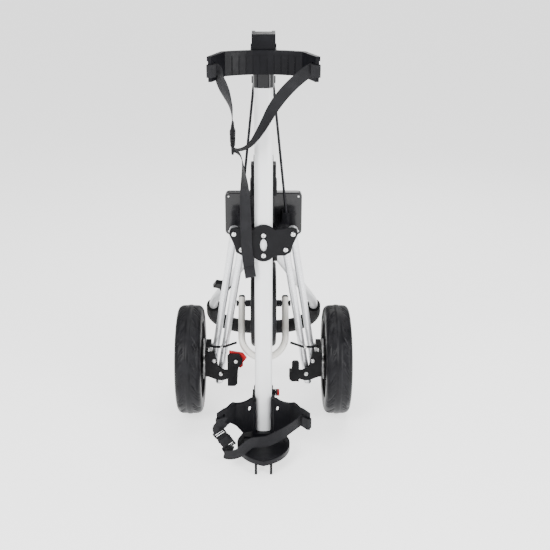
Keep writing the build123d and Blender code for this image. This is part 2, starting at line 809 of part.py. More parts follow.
with BuildPart() as fork_tube:
    with BuildLine(fork_plane()) as fork_line:
        fork_path(fork_top)
    with BuildSketch(fork_line.line ^ 0):
        Circle(fork_r)
    sweep()
    with BuildSketch(along_x(-80)):
        with Locations((front_y, front_z)):
            Circle(front_axle_r + 0.1)
    extrude(amount=160, mode=Mode.SUBTRACT)
write(fork_tube, "fork_tube")

with BuildPart() as fork_caps:
    with BuildSketch(fork_plane().rotated((-90, 0, 0)).offset(fork_top + 0.1)):
        with Locations((-fork_half, 0), (fork_half, 0)):
            Circle(fork_r + 0.5)
    extrude(amount=5, taper=20)
write(fork_caps, "fork_caps")

stem_half = 17.0
stem_way = (Vector(crown[0], crown[1]) - Vector(fork_y, fork_z)).normalized()
with BuildPart() as fork_stem:
    with BuildSketch(along_x(-stem_half)):
        with Locations((fork_y, fork_z)):
            Circle(13)
        with BuildLine():
            side_step = Vector(-stem_way.Y, stem_way.X) * 11
            start = Vector(fork_y, fork_z)
            finish = Vector(crown[0], crown[1]) + stem_way * 12
            Polyline(start + side_step, finish + side_step, finish - side_step,
                     start - side_step, start + side_step)
        make_face()
    extrude(amount=2 * stem_half)
    with BuildSketch(along_x(-stem_half - 1)):
        with Locations((fork_y, fork_z)):
            Circle(pin_r + fit)
    extrude(amount=2 * stem_half + 2, mode=Mode.SUBTRACT)
    with BuildLine(fork_plane()) as crown_line:
        fork_path(fork_top)
    with BuildSketch(crown_line.line ^ 0):
        Circle(fork_r + 0.1)
    sweep(mode=Mode.SUBTRACT)
write(fork_stem, "fork_stem")

arm_in = fork_half - fork_r
with BuildPart() as front_axle:
    with BuildSketch(along_x(-fork_half - fork_r - 2.5)):
        with Locations((front_y, front_z)):
            Circle(front_axle_r)
    extrude(amount=2 * (fork_half + fork_r + 2.5))
    for side in (-1, 1):
        with BuildSketch(along_x(side * 28.3)):
            with Locations((front_y, front_z)):
                Circle(8.5)
        extrude(amount=side * (arm_in - 28.9))
        with BuildSketch(along_x(side * (fork_half + fork_r + 0.3))):
            with Locations((front_y, front_z)):
                RegularPolygon(7.5, 6)
        extrude(amount=side * 5)
write(front_axle, "front_axle")

front_bearing_r = 11.0
with BuildPart() as front_rim:
    with BuildSketch(Plane.XY):
        with BuildLine():
            Polyline((-27, front_bearing_r + 0.05), (-27, 17), (-8, 19), (-5, 24), (-5, 62),
                     (-27, 65), (-28, front_rim_r), (28, front_rim_r), (27, 65), (5, 62),
                     (5, 24), (8, 19), (27, 17), (27, front_bearing_r + 0.05),
                     (20, front_bearing_r + 0.05), (20, 8), (-20, 8),
                     (-20, front_bearing_r + 0.05), (-27, front_bearing_r + 0.05))
        make_face()
    revolve(axis=Axis.X)
    with BuildSketch(along_x(-10)):
        with PolarLocations(43, 6):
            SlotOverall(24, 19, rotation=90)
    extrude(amount=20, mode=Mode.SUBTRACT)
front_rim_part = front_rim.part.moved(Location((0, front_y, front_z)))
front_rim_part.label = "front_wheel_rim"
export_step(front_rim_part, "parts/front_wheel_rim.step")

with BuildPart() as front_tyre:
    with BuildSketch(Plane.XY):
        with BuildLine():
            Polyline((-29, front_rim_r + 0.1), (-31, 80), (-31, 97))
            ThreePointArc((-31, 97), (-26, 106.5), (-15, 109))
            Polyline((-15, 109), (-8, 109.4), (-7, 107.5), (-5, 107.5), (-4, front_r), (4, front_r),
                     (5, 107.5), (7, 107.5), (8, 109.4), (15, 109))
            ThreePointArc((15, 109), (26, 106.5), (31, 97))
            Polyline((31, 97), (31, 80), (29, front_rim_r + 0.1), (-29, front_rim_r + 0.1))
        make_face()
    revolve(axis=Axis.X)
front_tyre_part = front_tyre.part.moved(Location((0, front_y, front_z)))
front_tyre_part.label = "front_tyre"
export_step(front_tyre_part, "parts/front_tyre.step")

with BuildPart() as front_bearings:
    for side in (-1, 1):
        with BuildSketch(along_x(side * 20.1)):
            with Locations((front_y, front_z)):
                Circle(front_bearing_r)
                Circle(front_axle_r + fit, mode=Mode.SUBTRACT)
        extrude(amount=side * 6.8)
write(front_bearings, "front_wheel_bearings")

# ---------------------------------------------------------------- handle
with BuildPart() as hinge_knuckle:
    with BuildSketch(along_x(-knuckle_half)):
        with Locations((column_y, pin_z)):
            Circle(knuckle_r)
    extrude(amount=2 * knuckle_half)
    with BuildSketch(Plane.XY.offset(pin_z - 4)):
        with Locations((0, column_y)):
            Circle(knuckle_half)
    extrude(amount=-50)
    with BuildSketch(Plane.XY.offset(column_top + 0.1)):
        with Locations((0, column_y)):
            Circle(column_r + 0.1)
    extrude(amount=-50, mode=Mode.SUBTRACT)
    with BuildSketch(along_x(-30)):
        with Locations((column_y, pin_z)):
            Circle(pin_r + fit)
    extrude(amount=60, mode=Mode.SUBTRACT)
write(hinge_knuckle, "hinge_knuckle")

with BuildPart() as handle_column:
    with BuildSketch(Plane.XY.offset(column_low)):
        with Locations((0, column_y)):
            Circle(column_r)
            Circle(column_r - 2, mode=Mode.SUBTRACT)
    extrude(amount=column_top - column_low)
write(handle_column, "handle_column")

stay_top = (20.0, 872.0)
stay_foot = (51.0, 574.0)
stay_r = 2.9
with BuildPart() as column_stays:
    with BuildSketch(Plane.XY.offset(866)):
        with Locations((0, column_y)):
            Ellipse(26, 19)
            Circle(column_r + 0.1, mode=Mode.SUBTRACT)
    extrude(amount=14)
    for side in (-1, 1):
        with BuildSketch(Plane(origin=(side * stay_top[0], column_y, stay_top[1]),
                               z_dir=(side * (stay_foot[0] - stay_top[0]), 8,
                                      stay_foot[1] - stay_top[1]))):
            Circle(stay_r)
        extrude(amount=hypot(stay_foot[0] - stay_top[0], 8, stay_foot[1] - stay_top[1]))
write(column_stays, "column_stays")

neck_d = face + 49.0
with BuildPart() as console_neck:
    for low, high, half in ((console_low, 620, 24), (620, 652, 30), (652, 690, 28), (690, 705, 22)):
        with BuildSketch(Plane.XY.offset(low)):
            with Locations((0, (neck_d + console_y) / 2 - 0.15)):
                RectangleRounded(2 * half, console_y - neck_d - 0.3, 4)
        extrude(amount=high - low)
    with BuildSketch(Plane.XY.offset(console_low - 1)):
        with Locations((0, column_y)):
            Circle(column_r + 0.1)
    extrude(amount=200, mode=Mode.SUBTRACT)
write(console_neck, "console_neck")

console_mid = (console_low + console_high) / 2
console_h = console_high - console_low
base_depth = 16.0
with BuildPart() as console_base:
    with BuildSketch(Plane.XZ.offset(-(console_y + base_depth))):
        with Locations((0, console_mid)):
            RectangleRounded(console_w, console_h, 10)
    extrude(amount=base_depth)
    fillet(console_base.edges().group_by(Axis.Y)[0], 3)
    with BuildSketch(Plane.XZ.offset(-(console_y + base_depth + 1))):
        with Locations((0, console_mid)):
            RectangleRounded(console_w - 6, console_h - 6, 7)
    extrude(amount=base_depth - 2, mode=Mode.SUBTRACT)
    # humps that take the feet of the two stays
    for side in (-1, 1):
        with BuildSketch(Plane.XZ.offset(-(console_y + 2))):
            with Locations((side * 51, 560)):
                RectangleRounded(17, 27, 5)
        extrude(amount=17)
write(console_base, "console_base")

cover_y = console_y + base_depth
clip_hinge_z = console_high - 12.0
with BuildPart() as console_cover:
    with BuildSketch(Plane.XZ.offset(-(cover_y + 5.2))):
        with Locations((0, console_mid)):
            RectangleRounded(console_w, console_h, 10)
    extrude(amount=5)
    fillet(console_cover.edges().group_by(Axis.Y)[-1], 2)
    # recess for the scorecard, two ball cups and a pencil groove
    with BuildSketch(Plane.XZ.offset(-(cover_y + 6))):
        with Locations((-18, console_mid)):
            RectangleRounded(116, 82, 4)
    extrude(amount=2.4, mode=Mode.SUBTRACT)
    with BuildSketch(Plane.XZ.offset(-(cover_y + 6))):
        with Locations((62, console_mid + 24), (62, console_mid - 24)):
            Circle(17)
    extrude(amount=20, mode=Mode.SUBTRACT)
    with BuildSketch(Plane.XZ.offset(-(cover_y + 6))):
        with Locations((83.5, console_mid)):
            SlotOverall(80, 3, rotation=90)
    extrude(amount=3, mode=Mode.SUBTRACT)
    # pintle of the scorecard clip, between two lugs
    with BuildSketch(along_x(-75)):
        with Locations((cover_y + 8, clip_hinge_z)):
            Circle(1)
    extrude(amount=114)
    for x in (-75.5, 36.5):
        with BuildSketch(along_x(x)):
            with BuildLine():
                Polyline((cover_y + 2.4, clip_hinge_z + 4), (cover_y + 10, clip_hinge_z + 3),
                         (cover_y + 10, clip_hinge_z - 3), (cover_y + 2.4, clip_hinge_z - 4),
                         (cover_y + 2.4, clip_hinge_z + 4))
            make_face()
        extrude(amount=3)
write(console_cover, "console_cover")

with BuildPart() as scorecard_clip:
    with BuildSketch(Plane.XZ.offset(-(cover_y + 8.6))):
        with Locations((-18, clip_hinge_z - 24)):
            RectangleRounded(108, 44, 5)
    extrude(amount=3)
    with BuildSketch(along_x(-72)):
        with Locations((cover_y + 8, clip_hinge_z)):
            Circle(2.4)
            Circle(1 + fit, mode=Mode.SUBTRACT)
    extrude(amount=108)
write(scorecard_clip, "scorecard_clip")


def loop_plane():
    """Plane of the handle loop: local X across, local Y from the yoke out to the grip."""
    run_y = grip[0] - loop_root[0]
    run_z = grip[1] - loop_root[1]
    return Plane(origin=(0, loop_root[0], loop_root[1]), x_dir=(1, 0, 0), z_dir=(0, -run_z, run_y))


loop_reach = hypot(grip[0] - loop_root[0], grip[1] - loop_root[1])
arm_start = (15.0, 15.0)
arm_bend = (131.0, loop_reach - 170)
corner = (136.0, loop_reach - 66)
bar_end = (74.0, loop_reach)

with BuildPart() as handle_loop:
    with BuildLine(loop_plane()) as loop_line:
        FilletPolyline(arm_start, arm_bend, corner, bar_end, (-bar_end[0], bar_end[1]),
                       (-corner[0], corner[1]), (-arm_bend[0], arm_bend[1]),
                       (-arm_start[0], arm_start[1]), radius=[120, 100, 104, 104, 100, 120])
    with BuildSketch(loop_line.line ^ 0):
        Circle(loop_r)
        Circle(loop_r - 1.6, mode=Mode.SUBTRACT)
    sweep()
write(handle_loop, "handle_loop")

foam_start = (arm_bend[0] + 1.2, arm_bend[1] + 25)
with BuildPart() as grip_foam:
    with BuildLine(loop_plane()) as foam_line:
        FilletPolyline(foam_start, corner, bar_end, (-bar_end[0], bar_end[1]),
                       (-corner[0], corner[1]), (-foam_start[0], foam_start[1]),
                       radius=[100, 104, 104, 100])
    with BuildSketch(foam_line.line ^ 0):
        Circle(foam_r)
        Circle(loop_r + 0.15, mode=Mode.SUBTRACT)
    sweep()
write(grip_foam, "grip_foam")

with BuildPart() as handle_yoke:
    with BuildSketch(along_x(-32)):
        with BuildLine():
            Polyline((column_y - 17, console_low - 0.3), (column_y + 30, console_low - 0.3),
                     (column_y + 62, 468), (column_y + 34, 446), (column_y - 17, 488),
                     (column_y - 17, console_low - 0.3))
        make_face()
    extrude(amount=64)
    fillet(handle_yoke.edges().filter_by(Axis.X), 4)
    with BuildSketch(Plane.XY.offset(column_low - 0.1)):
        with Locations((0, column_y)):
            Circle(column_r + 0.1)
    extrude(amount=30, mode=Mode.SUBTRACT)
    for side in (-1, 1):
        run = (arm_bend[0] - arm_start[0], arm_bend[1] - arm_start[1])
        first = loop_plane().from_local_coords(Vector(side * arm_start[0], arm_start[1], 0))
        after = loop_plane().from_local_coords(Vector(side * arm_bend[0], arm_bend[1], 0))
        with BuildSketch(Plane(origin=first, z_dir=after - first)):
            Circle(loop_r + 0.1)
        extrude(amount=120, mode=Mode.SUBTRACT)
write(handle_yoke, "handle_yoke")

hook_at = 0.66
with BuildPart() as arm_clip:
    near_end = loop_plane().from_local_coords(Vector(-arm_start[0], arm_start[1], 0))
    far_end = loop_plane().from_local_coords(Vector(-arm_bend[0], arm_bend[1], 0))
    clip_plane = Plane(origin=near_end + (far_end - near_end) * hook_at, x_dir=(-1, 0, 0),
                       z_dir=far_end - near_end)
    with BuildSketch(clip_plane):
        Circle(loop_r + 3.5)
        with Locations((loop_r + 9, 0)):
            RectangleRounded(20, 12, 3)
        Circle(loop_r + 0.15, mode=Mode.SUBTRACT)
    extrude(amount=24)
write(arm_clip, "arm_clip")


# ---------------------------------------------------------------- straps and buckles
def ribbon(start, end, wide, across, thick=1.8):
    """One flat run of webbing between two points, its width along the given direction."""
    run = Vector(*end) - Vector(*start)
    plane = Plane(origin=start, x_dir=Vector(*across), z_dir=run)
    with BuildSketch(plane) as section:
        Rectangle(wide, thick)
    extrude(section.sketch, amount=run.length)


web = 24.0
with BuildPart() as upper_strap:
    ribbon((-97, face - 92, 886), (-66, face - 38, 800), web, (0.4, 0.9, 0))
    ribbon((-66.5, face - 39, 802), (-65, face - 32, 768), web * 0.9, (0.2, 1, 0))
    ribbon((-65, face - 34, 772), (-44, face - 14, 716), web * 0.85, (0.7, 0.7, 0))
    ribbon((-44.5, face - 15, 718), (-38, face - 12, 640), web, (1, 0, 0))
    ribbon((-38, face - 12, 642), (-37, face - 12, 560), web, (1, 0, 0))
    ribbon((-37, face - 12, 562), (-28, face - 12, 450), web, (1, 0, 0))
    ribbon((-65, face - 32, 774), (0, face - 26, 822), web, (0.6, 0, -0.8))
    ribbon((-2, face - 26, 820), (93, face - 92, 884), web, (0.6, 0, -0.8))
write(upper_strap, "upper_strap")

with BuildPart() as upper_buckle:
    with BuildSketch(Plane.XY.offset(736)):
        with Locations((-65, face - 34)):
            RectangleRounded(13, 34, 4)
        with Locations((-65, face - 34)):
            Rectangle(4, 26, mode=Mode.SUBTRACT)
    extrude(amount=62)
write(upper_buckle, "upper_buckle")

with BuildPart() as lower_buckle:
    with BuildSketch(Plane(origin=(-75, face - 88.5, 61), x_dir=(0.8, 0, 0.6), z_dir=(-0.6, 0.06, 0.8))):
        RectangleRounded(31, 10.5, 3)
        Rectangle(25, 3.5, mode=Mode.SUBTRACT)
    extrude(amount=51)
write(lower_buckle, "lower_buckle")

with BuildPart() as lower_strap:
    ribbon((88, face - 69, 114), (50, face - 79, 94), web, (0, 0, 1))
    ribbon((51, face - 79, 94), (10, face - 86, 75), web, (0, 0.3, 1))
    ribbon((11, face - 86, 75), (-27, face - 90, 72), web, (0, 0.1, 1))
    ribbon((-26, face - 90, 72), (-54, face - 93, 49), web, (0, 0, 1))
    ribbon((-53, face - 93, 49), (-89, face - 90, 41), web, (0, 0, 1))
    ribbon((-88, face - 83, 46), (-80, face - 86, 58), web, (0.8, 0, -0.6))
    ribbon((-104, face - 85, 104), (-108, face - 83, 112), web, (0.8, 0, 0.4))
    add(lower_buckle.part, mode=Mode.SUBTRACT)
    add(lower_cradle.part, mode=Mode.SUBTRACT)
write(lower_strap, "lower_strap")



# ---------------------------------------------------------------- brake cable ends
# Each housing rises from a stop on the carrier, passes in front of both legs and climbs inboard.
for name, side in SIDES:
    with BuildPart() as cable:
        with BuildLine() as cable_line:
            FilletPolyline((side * 136, face + 143.4, 193.2), (side * 136, face + 143.4, 208),
                           (side * 121, face + 127, 212), (side * 98, face + 116, 217),
                           (side * 66, face + 105, 234), radius=[9, 22, 40])
        with BuildSketch(cable_line.line ^ 0):
            Circle(3)
        sweep()
    write(cable, f"{name}_brake_cable")
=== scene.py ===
import math

import bmesh
import bpy
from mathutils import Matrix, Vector


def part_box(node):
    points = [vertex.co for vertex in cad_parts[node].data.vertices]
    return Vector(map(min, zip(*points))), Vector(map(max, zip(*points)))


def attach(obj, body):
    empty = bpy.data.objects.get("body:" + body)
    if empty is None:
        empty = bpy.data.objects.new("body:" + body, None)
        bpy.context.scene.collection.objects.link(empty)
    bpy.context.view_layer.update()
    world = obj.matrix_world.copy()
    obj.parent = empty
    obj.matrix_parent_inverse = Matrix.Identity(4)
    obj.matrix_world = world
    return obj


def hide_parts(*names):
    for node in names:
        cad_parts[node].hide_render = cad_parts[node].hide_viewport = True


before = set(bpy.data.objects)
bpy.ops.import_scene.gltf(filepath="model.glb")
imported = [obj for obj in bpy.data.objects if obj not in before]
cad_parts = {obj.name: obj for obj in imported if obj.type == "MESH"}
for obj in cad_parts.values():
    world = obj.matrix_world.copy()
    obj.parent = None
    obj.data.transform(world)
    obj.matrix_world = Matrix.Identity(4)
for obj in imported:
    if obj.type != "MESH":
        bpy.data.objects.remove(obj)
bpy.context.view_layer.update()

MM = 0.001
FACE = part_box("main_tube")[0][1]     # bag side face of the main tube
SIDES = (("left", -1), ("right", 1))


def at(x, depth, z):
    """A point in metres from millimetres, its depth measured back from the tube's bag side face."""
    return Vector((x * MM, FACE + depth * MM, z * MM))


# ---------------------------------------------------------------- camera, lights and floor
CAMERA_BACK = 1.880
CAMERA_HEIGHT = 1.172
CAMERA_TILT = 21.0
camera_data = bpy.data.cameras.new("camera")
camera_data.lens = 58.91
camera_data.sensor_width = 36.0
camera_data.shift_x = 0.0209
camera = bpy.data.objects.new("camera", camera_data)
camera.location = (0, FACE - CAMERA_BACK, CAMERA_HEIGHT)
camera.rotation_euler = (math.radians(90 - CAMERA_TILT), 0, 0)
bpy.context.scene.collection.objects.link(camera)
bpy.context.scene.camera = camera

world = bpy.data.worlds.new("studio")
world.use_nodes = True
world.node_tree.nodes["Background"].inputs["Color"].default_value = (1.0, 1.0, 1.0, 1.0)
world.node_tree.nodes["Background"].inputs["Strength"].default_value = 0.45
bpy.context.scene.world = world


def area_light(name, place, target, size, size_y, power):
    data = bpy.data.lights.new(name, "AREA")
    data.shape = "RECTANGLE"
    data.size = size
    data.size_y = size_y
    data.energy = power
    light = bpy.data.objects.new(name, data)
    light.location = place
    aim = Vector(target) - Vector(place)
    light.rotation_euler = aim.to_track_quat("-Z", "Y").to_euler()
    bpy.context.scene.collection.objects.link(light)


area_light("key", (-1.3, -2.1, 2.0), (0, 0, 0.45), 1.1, 1.6, 88)
area_light("fill", (1.7, -1.7, 1.2), (0, 0, 0.45), 0.9, 1.6, 52)
area_light("top", (0.1, 0.2, 2.7), (0, 0, 0.4), 1.6, 1.6, 30)
area_light("back", (0.6, 2.0, 1.7), (0, 0, 0.5), 1.4, 1.4, 12)


# ---------------------------------------------------------------- materials
class Shader:
    """A Principled material with short calls for the textures that it is made of."""

    def __init__(self, name):
        self.material = bpy.data.materials.new(name)
        self.material.use_nodes = True
        self.tree = self.material.node_tree
        self.bsdf = self.tree.nodes["Principled BSDF"]
        self.coordinates = self.node("ShaderNodeTexCoord").outputs["Object"]

    def node(self, kind, **values):
        made = self.tree.nodes.new(kind)
        for key, value in values.items():
            setattr(made, key, value)
        return made

    def join(self, source, target):
        self.tree.links.new(source, target)

    def set(self, **values):
        for key, value in values.items():
            self.bsdf.inputs[key.replace("_", " ")].default_value = value
        return self

    def stretched(self, scale, source=None):
        mapping = self.node("ShaderNodeMapping")
        mapping.inputs["Scale"].default_value = scale
        self.join(source or self.coordinates, mapping.inputs["Vector"])
        return mapping.outputs["Vector"]

    def noise(self, scale, detail=3.0, rough=0.55, vector=None, distortion=0.0):
        made = self.node("ShaderNodeTexNoise")
        made.inputs["Scale"].default_value = scale
        made.inputs["Detail"].default_value = detail
        made.inputs["Roughness"].default_value = rough
        made.inputs["Distortion"].default_value = distortion
        self.join(vector or self.coordinates, made.inputs["Vector"])
        return made.outputs["Fac"]

    def cells(self, scale, feature="F1", vector=None):
        made = self.node("ShaderNodeTexVoronoi", feature=feature)
        made.inputs["Scale"].default_value = scale
        self.join(vector or self.coordinates, made.inputs["Vector"])
        return made.outputs["Distance"]

    def spread(self, source, low, high, to_low=0.0, to_high=1.0):
        made = self.node("ShaderNodeMapRange")
        for key, value in (("From Min", low), ("From Max", high), ("To Min", to_low), ("To Max", to_high)):
            made.inputs[key].default_value = value
        self.join(source, made.inputs["Value"])
        return made.outputs["Result"]

    def math(self, operation, a, b=None):
        made = self.node("ShaderNodeMath", operation=operation)
        for socket, value in zip(made.inputs, (a, b)):
            if value is None:
                continue
            if isinstance(value, (int, float)):
                socket.default_value = value
            else:
                self.join(value, socket)
        return made.outputs["Value"]

    def blend(self, factor, first, second):
        """Colour that runs from first to second with factor; each is a colour or a socket."""
        made = self.node("ShaderNodeMix", data_type="RGBA")
        self.join(factor, made.inputs["Factor"])
        for socket, value in ((made.inputs[6], first), (made.inputs[7], second)):
            if isinstance(value, tuple):
                socket.default_value = (*value, 1.0)
            else:
                self.join(value, socket)
        return made.outputs[2]

    def colour(self, socket):
        self.join(socket, self.bsdf.inputs["Base Color"])

    def roughness(self, socket):
        self.join(socket, self.bsdf.inputs["Roughness"])

    def bump(self, height, strength, distance):
        made = self.node("ShaderNodeBump")
        made.inputs["Strength"].default_value = strength
        made.inputs["Distance"].default_value = distance
        self.join(height, made.inputs["Height"])
        if self.bsdf.inputs["Normal"].is_linked:
            self.join(self.bsdf.inputs["Normal"].links[0].from_socket, made.inputs["Normal"])
        self.join(made.outputs["Normal"], self.bsdf.inputs["Normal"])


def paint(name, base, shade, rough):
    """Powder coat: a fine orange peel, a faint drift of tone, small darker marks."""
    s = Shader(name)
    drift = s.noise(7.0, 2.0)
    marks = s.spread(s.noise(160.0, 5.0, 0.7), 0.62, 0.72)
    tone = s.blend(s.spread(drift, 0.35, 0.65), base, shade)
    s.colour(s.blend(s.math("MULTIPLY", marks, 0.25), tone, tuple(0.72 * c for c in base)))
    s.roughness(s.spread(s.noise(55.0, 3.0), 0.3, 0.7, rough - 0.05, rough + 0.08))
    s.bump(s.noise(900.0, 2.0), 0.16, 0.0002)
    s.set(Coat_Weight=0.35, Coat_Roughness=0.16, IOR=1.5)
    return s.material


def anodised(name, base, shade):
    """Drawn aluminium tube: long fine streaks down its length."""
    s = Shader(name)
    streaks = s.noise(60.0, 4.0, 0.6, vector=s.stretched((9.0, 9.0, 0.35)))
    cloud = s.noise(24.0, 3.0)
    tone = s.blend(s.spread(streaks, 0.3, 0.7), base, shade)
    patches = s.math("MULTIPLY", s.spread(cloud, 0.45, 0.75), 0.3)
    s.colour(s.blend(patches, tone, tuple(0.8 * c for c in shade)))
    s.roughness(s.spread(streaks, 0.3, 0.7, 0.24, 0.4))
    s.bump(streaks, 0.10, 0.0001)
    s.set(Metallic=0.82)
    return s.material


def steel(name, base, shade, rough):
    """Plated steel: fine scratches and a mottled plating."""
    s = Shader(name)
    scratches = s.noise(900.0, 3.0, 0.6, vector=s.stretched((1.0, 0.2, 1.0)))
    mottle = s.noise(260.0, 4.0, 0.6)
    s.colour(s.blend(s.spread(mottle, 0.35, 0.65), base, shade))
    s.roughness(s.spread(scratches, 0.3, 0.7, rough - 0.08, rough + 0.12))
    s.bump(scratches, 0.12, 0.0001)
    s.set(Metallic=1.0)
    return s.material


def moulded(name, base, worn, rough, grain=1.0):
    """Moulded nylon: a spark eroded grain, faint flow clouds and pale scuffs."""
    s = Shader(name)
    clouds = s.noise(18.0, 3.0)
    scuffs = s.spread(s.noise(130.0, 6.0, 0.75, distortion=0.6), 0.60, 0.74)
    tone = s.blend(s.spread(clouds, 0.35, 0.65), base, tuple(1.45 * c + 0.001 for c in base))
    s.colour(s.blend(s.math("MULTIPLY", scuffs, 0.45), tone, worn))
    s.roughness(s.spread(s.noise(75.0, 4.0), 0.3, 0.7, rough - 0.07, rough + 0.10))
    s.bump(s.cells(1500.0), 0.30 * grain, 0.00025)
    s.bump(s.noise(420.0, 3.0), 0.16 * grain, 0.0004)
    s.set(Specular_IOR_Level=0.13)
    return s.material


def polished(name, base, rough):
    """Polished moulding: fine swirl scratches in a clear gloss."""
    s = Shader(name)
    swirls = s.noise(420.0, 5.0, 0.75, distortion=1.8)
    dust = s.spread(s.noise(850.0, 3.0, 0.7), 0.66, 0.78)
    tone = s.blend(s.spread(s.noise(12.0), 0.4, 0.6), base, tuple(1.5 * c + 0.003 for c in base))
    s.colour(s.blend(s.math("MULTIPLY", dust, 0.3), tone, tuple(c + 0.08 for c in base)))
    s.roughness(s.spread(swirls, 0.35, 0.75, rough, rough + 0.16))
    s.bump(s.noise(60.0, 2.0), 0.05, 0.0006)
    s.set(Specular_IOR_Level=0.3, Coat_Weight=0.22, Coat_Roughness=0.08)
    return s.material


def tyre_rubber(name):
    """Moulded EVA: closed skin with faint flow marks and scattered grey scuffs."""
    s = Shader(name)
    flow = s.noise(26.0, 4.0, 0.6, distortion=1.2)
    grain = s.noise(700.0, 4.0, 0.7)
    scuffs = s.spread(s.noise(190.0, 6.0, 0.8), 0.56, 0.72)
    tone = s.blend(s.spread(flow, 0.3, 0.7), (0.005, 0.005, 0.006), (0.013, 0.013, 0.015))
    s.colour(s.blend(s.math("MULTIPLY", scuffs, 0.35), tone, (0.032, 0.031, 0.031)))
    s.roughness(s.spread(flow, 0.3, 0.7, 0.30, 0.50))
    s.bump(grain, 0.22, 0.0003)
    s.bump(s.cells(420.0), 0.10, 0.0004)
    s.set(Specular_IOR_Level=0.13)
    return s.material


def foam(name):
    """Closed cell foam of the grips: open pores in a dull skin."""
    s = Shader(name)
    pores = s.cells(900.0)
    # painted shade: the pits of the pores, which the bump below sinks, are coloured darker
    s.colour(s.blend(s.spread(pores, 0.15, 0.5), (0.004, 0.004, 0.005), (0.016, 0.016, 0.017)))
    s.roughness(s.spread(s.noise(120.0), 0.3, 0.7, 0.66, 0.86))
    s.bump(pores, 0.55, 0.0005)
    s.bump(s.noise(180.0, 4.0), 0.25, 0.0006)
    s.set(Specular_IOR_Level=0.12)
    return s.material


def webbing(name):
    """Woven polypropylene: ribs along the strap crossed by the weft, with a fuzz of fine fibre."""
    s = Shader(name)
    uv = s.node("ShaderNodeUVMap", uv_map="strap").outputs["UV"]
    parts = s.node("ShaderNodeSeparateXYZ")
    s.join(uv, parts.inputs["Vector"])
    across, along = parts.outputs["X"], parts.outputs["Y"]
    # herringbone: the weft is offset by half a pick on every other rib
    rib = s.math("MULTIPLY", across, 2 * math.pi / 0.0022)
    ribs = s.math("ABSOLUTE", s.math("SINE", rib))
    pick = s.math("MULTIPLY", along, 2 * math.pi / 0.0017)
    weft = s.math("ABSOLUTE", s.math("SINE", s.math("ADD", pick, s.math("MULTIPLY", ribs, 1.4))))
    weave = s.math("ADD", s.math("MULTIPLY", ribs, 0.55), s.math("MULTIPLY", weft, 0.45))
    fuzz = s.noise(2400.0, 3.0, 0.7)
    fade = s.noise(35.0, 3.0)
    # painted shade: the weave is coloured darker in the grooves between ribs and picks, which the bump below
    # sinks, and lighter on the raised threads
    tone = s.blend(weave, (0.003, 0.003, 0.004), (0.015, 0.015, 0.017))
    s.colour(s.blend(s.math("MULTIPLY", s.spread(fade, 0.45, 0.75), 0.35), tone, (0.026, 0.026, 0.029)))
    s.roughness(s.spread(fuzz, 0.3, 0.7, 0.50, 0.74))
    s.bump(weave, 0.85, 0.0005)
    s.bump(fuzz, 0.18, 0.0002)
    s.set(Specular_IOR_Level=0.14, Sheen_Weight=0.04, Sheen_Roughness=0.45)
    return s.material


def clear(name):
    """Smoked clear plastic with fine hairline scratches."""
    s = Shader(name)
    lines = s.noise(300.0, 4.0, 0.7, vector=s.stretched((1.0, 1.0, 0.15)))
    s.colour(s.blend(s.spread(lines, 0.4, 0.7), (0.50, 0.53, 0.55), (0.66, 0.68, 0.70)))
    s.roughness(s.spread(lines, 0.35, 0.75, 0.06, 0.22))
    s.bump(lines, 0.05, 0.0001)
    s.set(Transmission_Weight=0.75, IOR=1.49)
    return s.material


def two_tone(name, first, second, axis, edge, rough):
    """A moulding in two colours that meet across one plane of the frame, each with its own grain."""
    s = Shader(name)
    parts = s.node("ShaderNodeSeparateXYZ")
    s.join(s.coordinates, parts.inputs["Vector"])
    side = s.math("GREATER_THAN", parts.outputs[axis], edge)
    drift = s.spread(s.noise(90.0, 4.0), 0.35, 0.65)
    dark = s.blend(drift, first, tuple(1.5 * c + 0.002 for c in first))
    light = s.blend(drift, second, tuple(0.82 * c for c in second))
    s.colour(s.blend(side, dark, light))
    s.roughness(s.spread(s.noise(220.0, 4.0), 0.3, 0.7, rough - 0.06, rough + 0.1))
    s.bump(s.noise(1100.0, 3.0), 0.2, 0.0003)
    s.set(Coat_Weight=0.15)
    return s.material


WHITE = paint("white_paint", (0.86, 0.87, 0.88), (0.82, 0.83, 0.845), 0.34)
CREAM = paint("cream_paint", (0.80, 0.785, 0.73), (0.755, 0.74, 0.69), 0.36)
SILVER = anodised("silver_tube", (0.80, 0.81, 0.825), (0.68, 0.69, 0.71))
BRIGHT = steel("bright_steel", (0.74, 0.74, 0.73), (0.60, 0.60, 0.61), 0.26)
DARK_STEEL = steel("dark_steel", (0.030, 0.030, 0.033), (0.016, 0.016, 0.018), 0.44)
BLACK = moulded("black_plastic", (0.0032, 0.0032, 0.0040), (0.020, 0.020, 0.023), 0.40)
CRADLE = moulded("cradle_plastic", (0.0036, 0.0036, 0.0048), (0.022, 0.022, 0.026), 0.36, 0.8)
GLOSS = polished("gloss_black", (0.0050, 0.0050, 0.0062), 0.12)
TYRE = tyre_rubber("tyre_foam")
FOAM = foam("grip_foam")
WEB = webbing("webbing")
RED = moulded("red_plastic", (0.34, 0.008, 0.012), (0.46, 0.05, 0.05), 0.32, 0.5)
CLEAR = clear("clear_plastic")
SHEATH = moulded("cable_sheath", (0.006, 0.006, 0.007), (0.03, 0.03, 0.03), 0.36, 0.4)
KNOB_SPLIT = 0.0335
KNOB = two_tone("knob_plastic", (0.006, 0.006, 0.007), (0.42, 0.010, 0.014), "X", KNOB_SPLIT, 0.32)

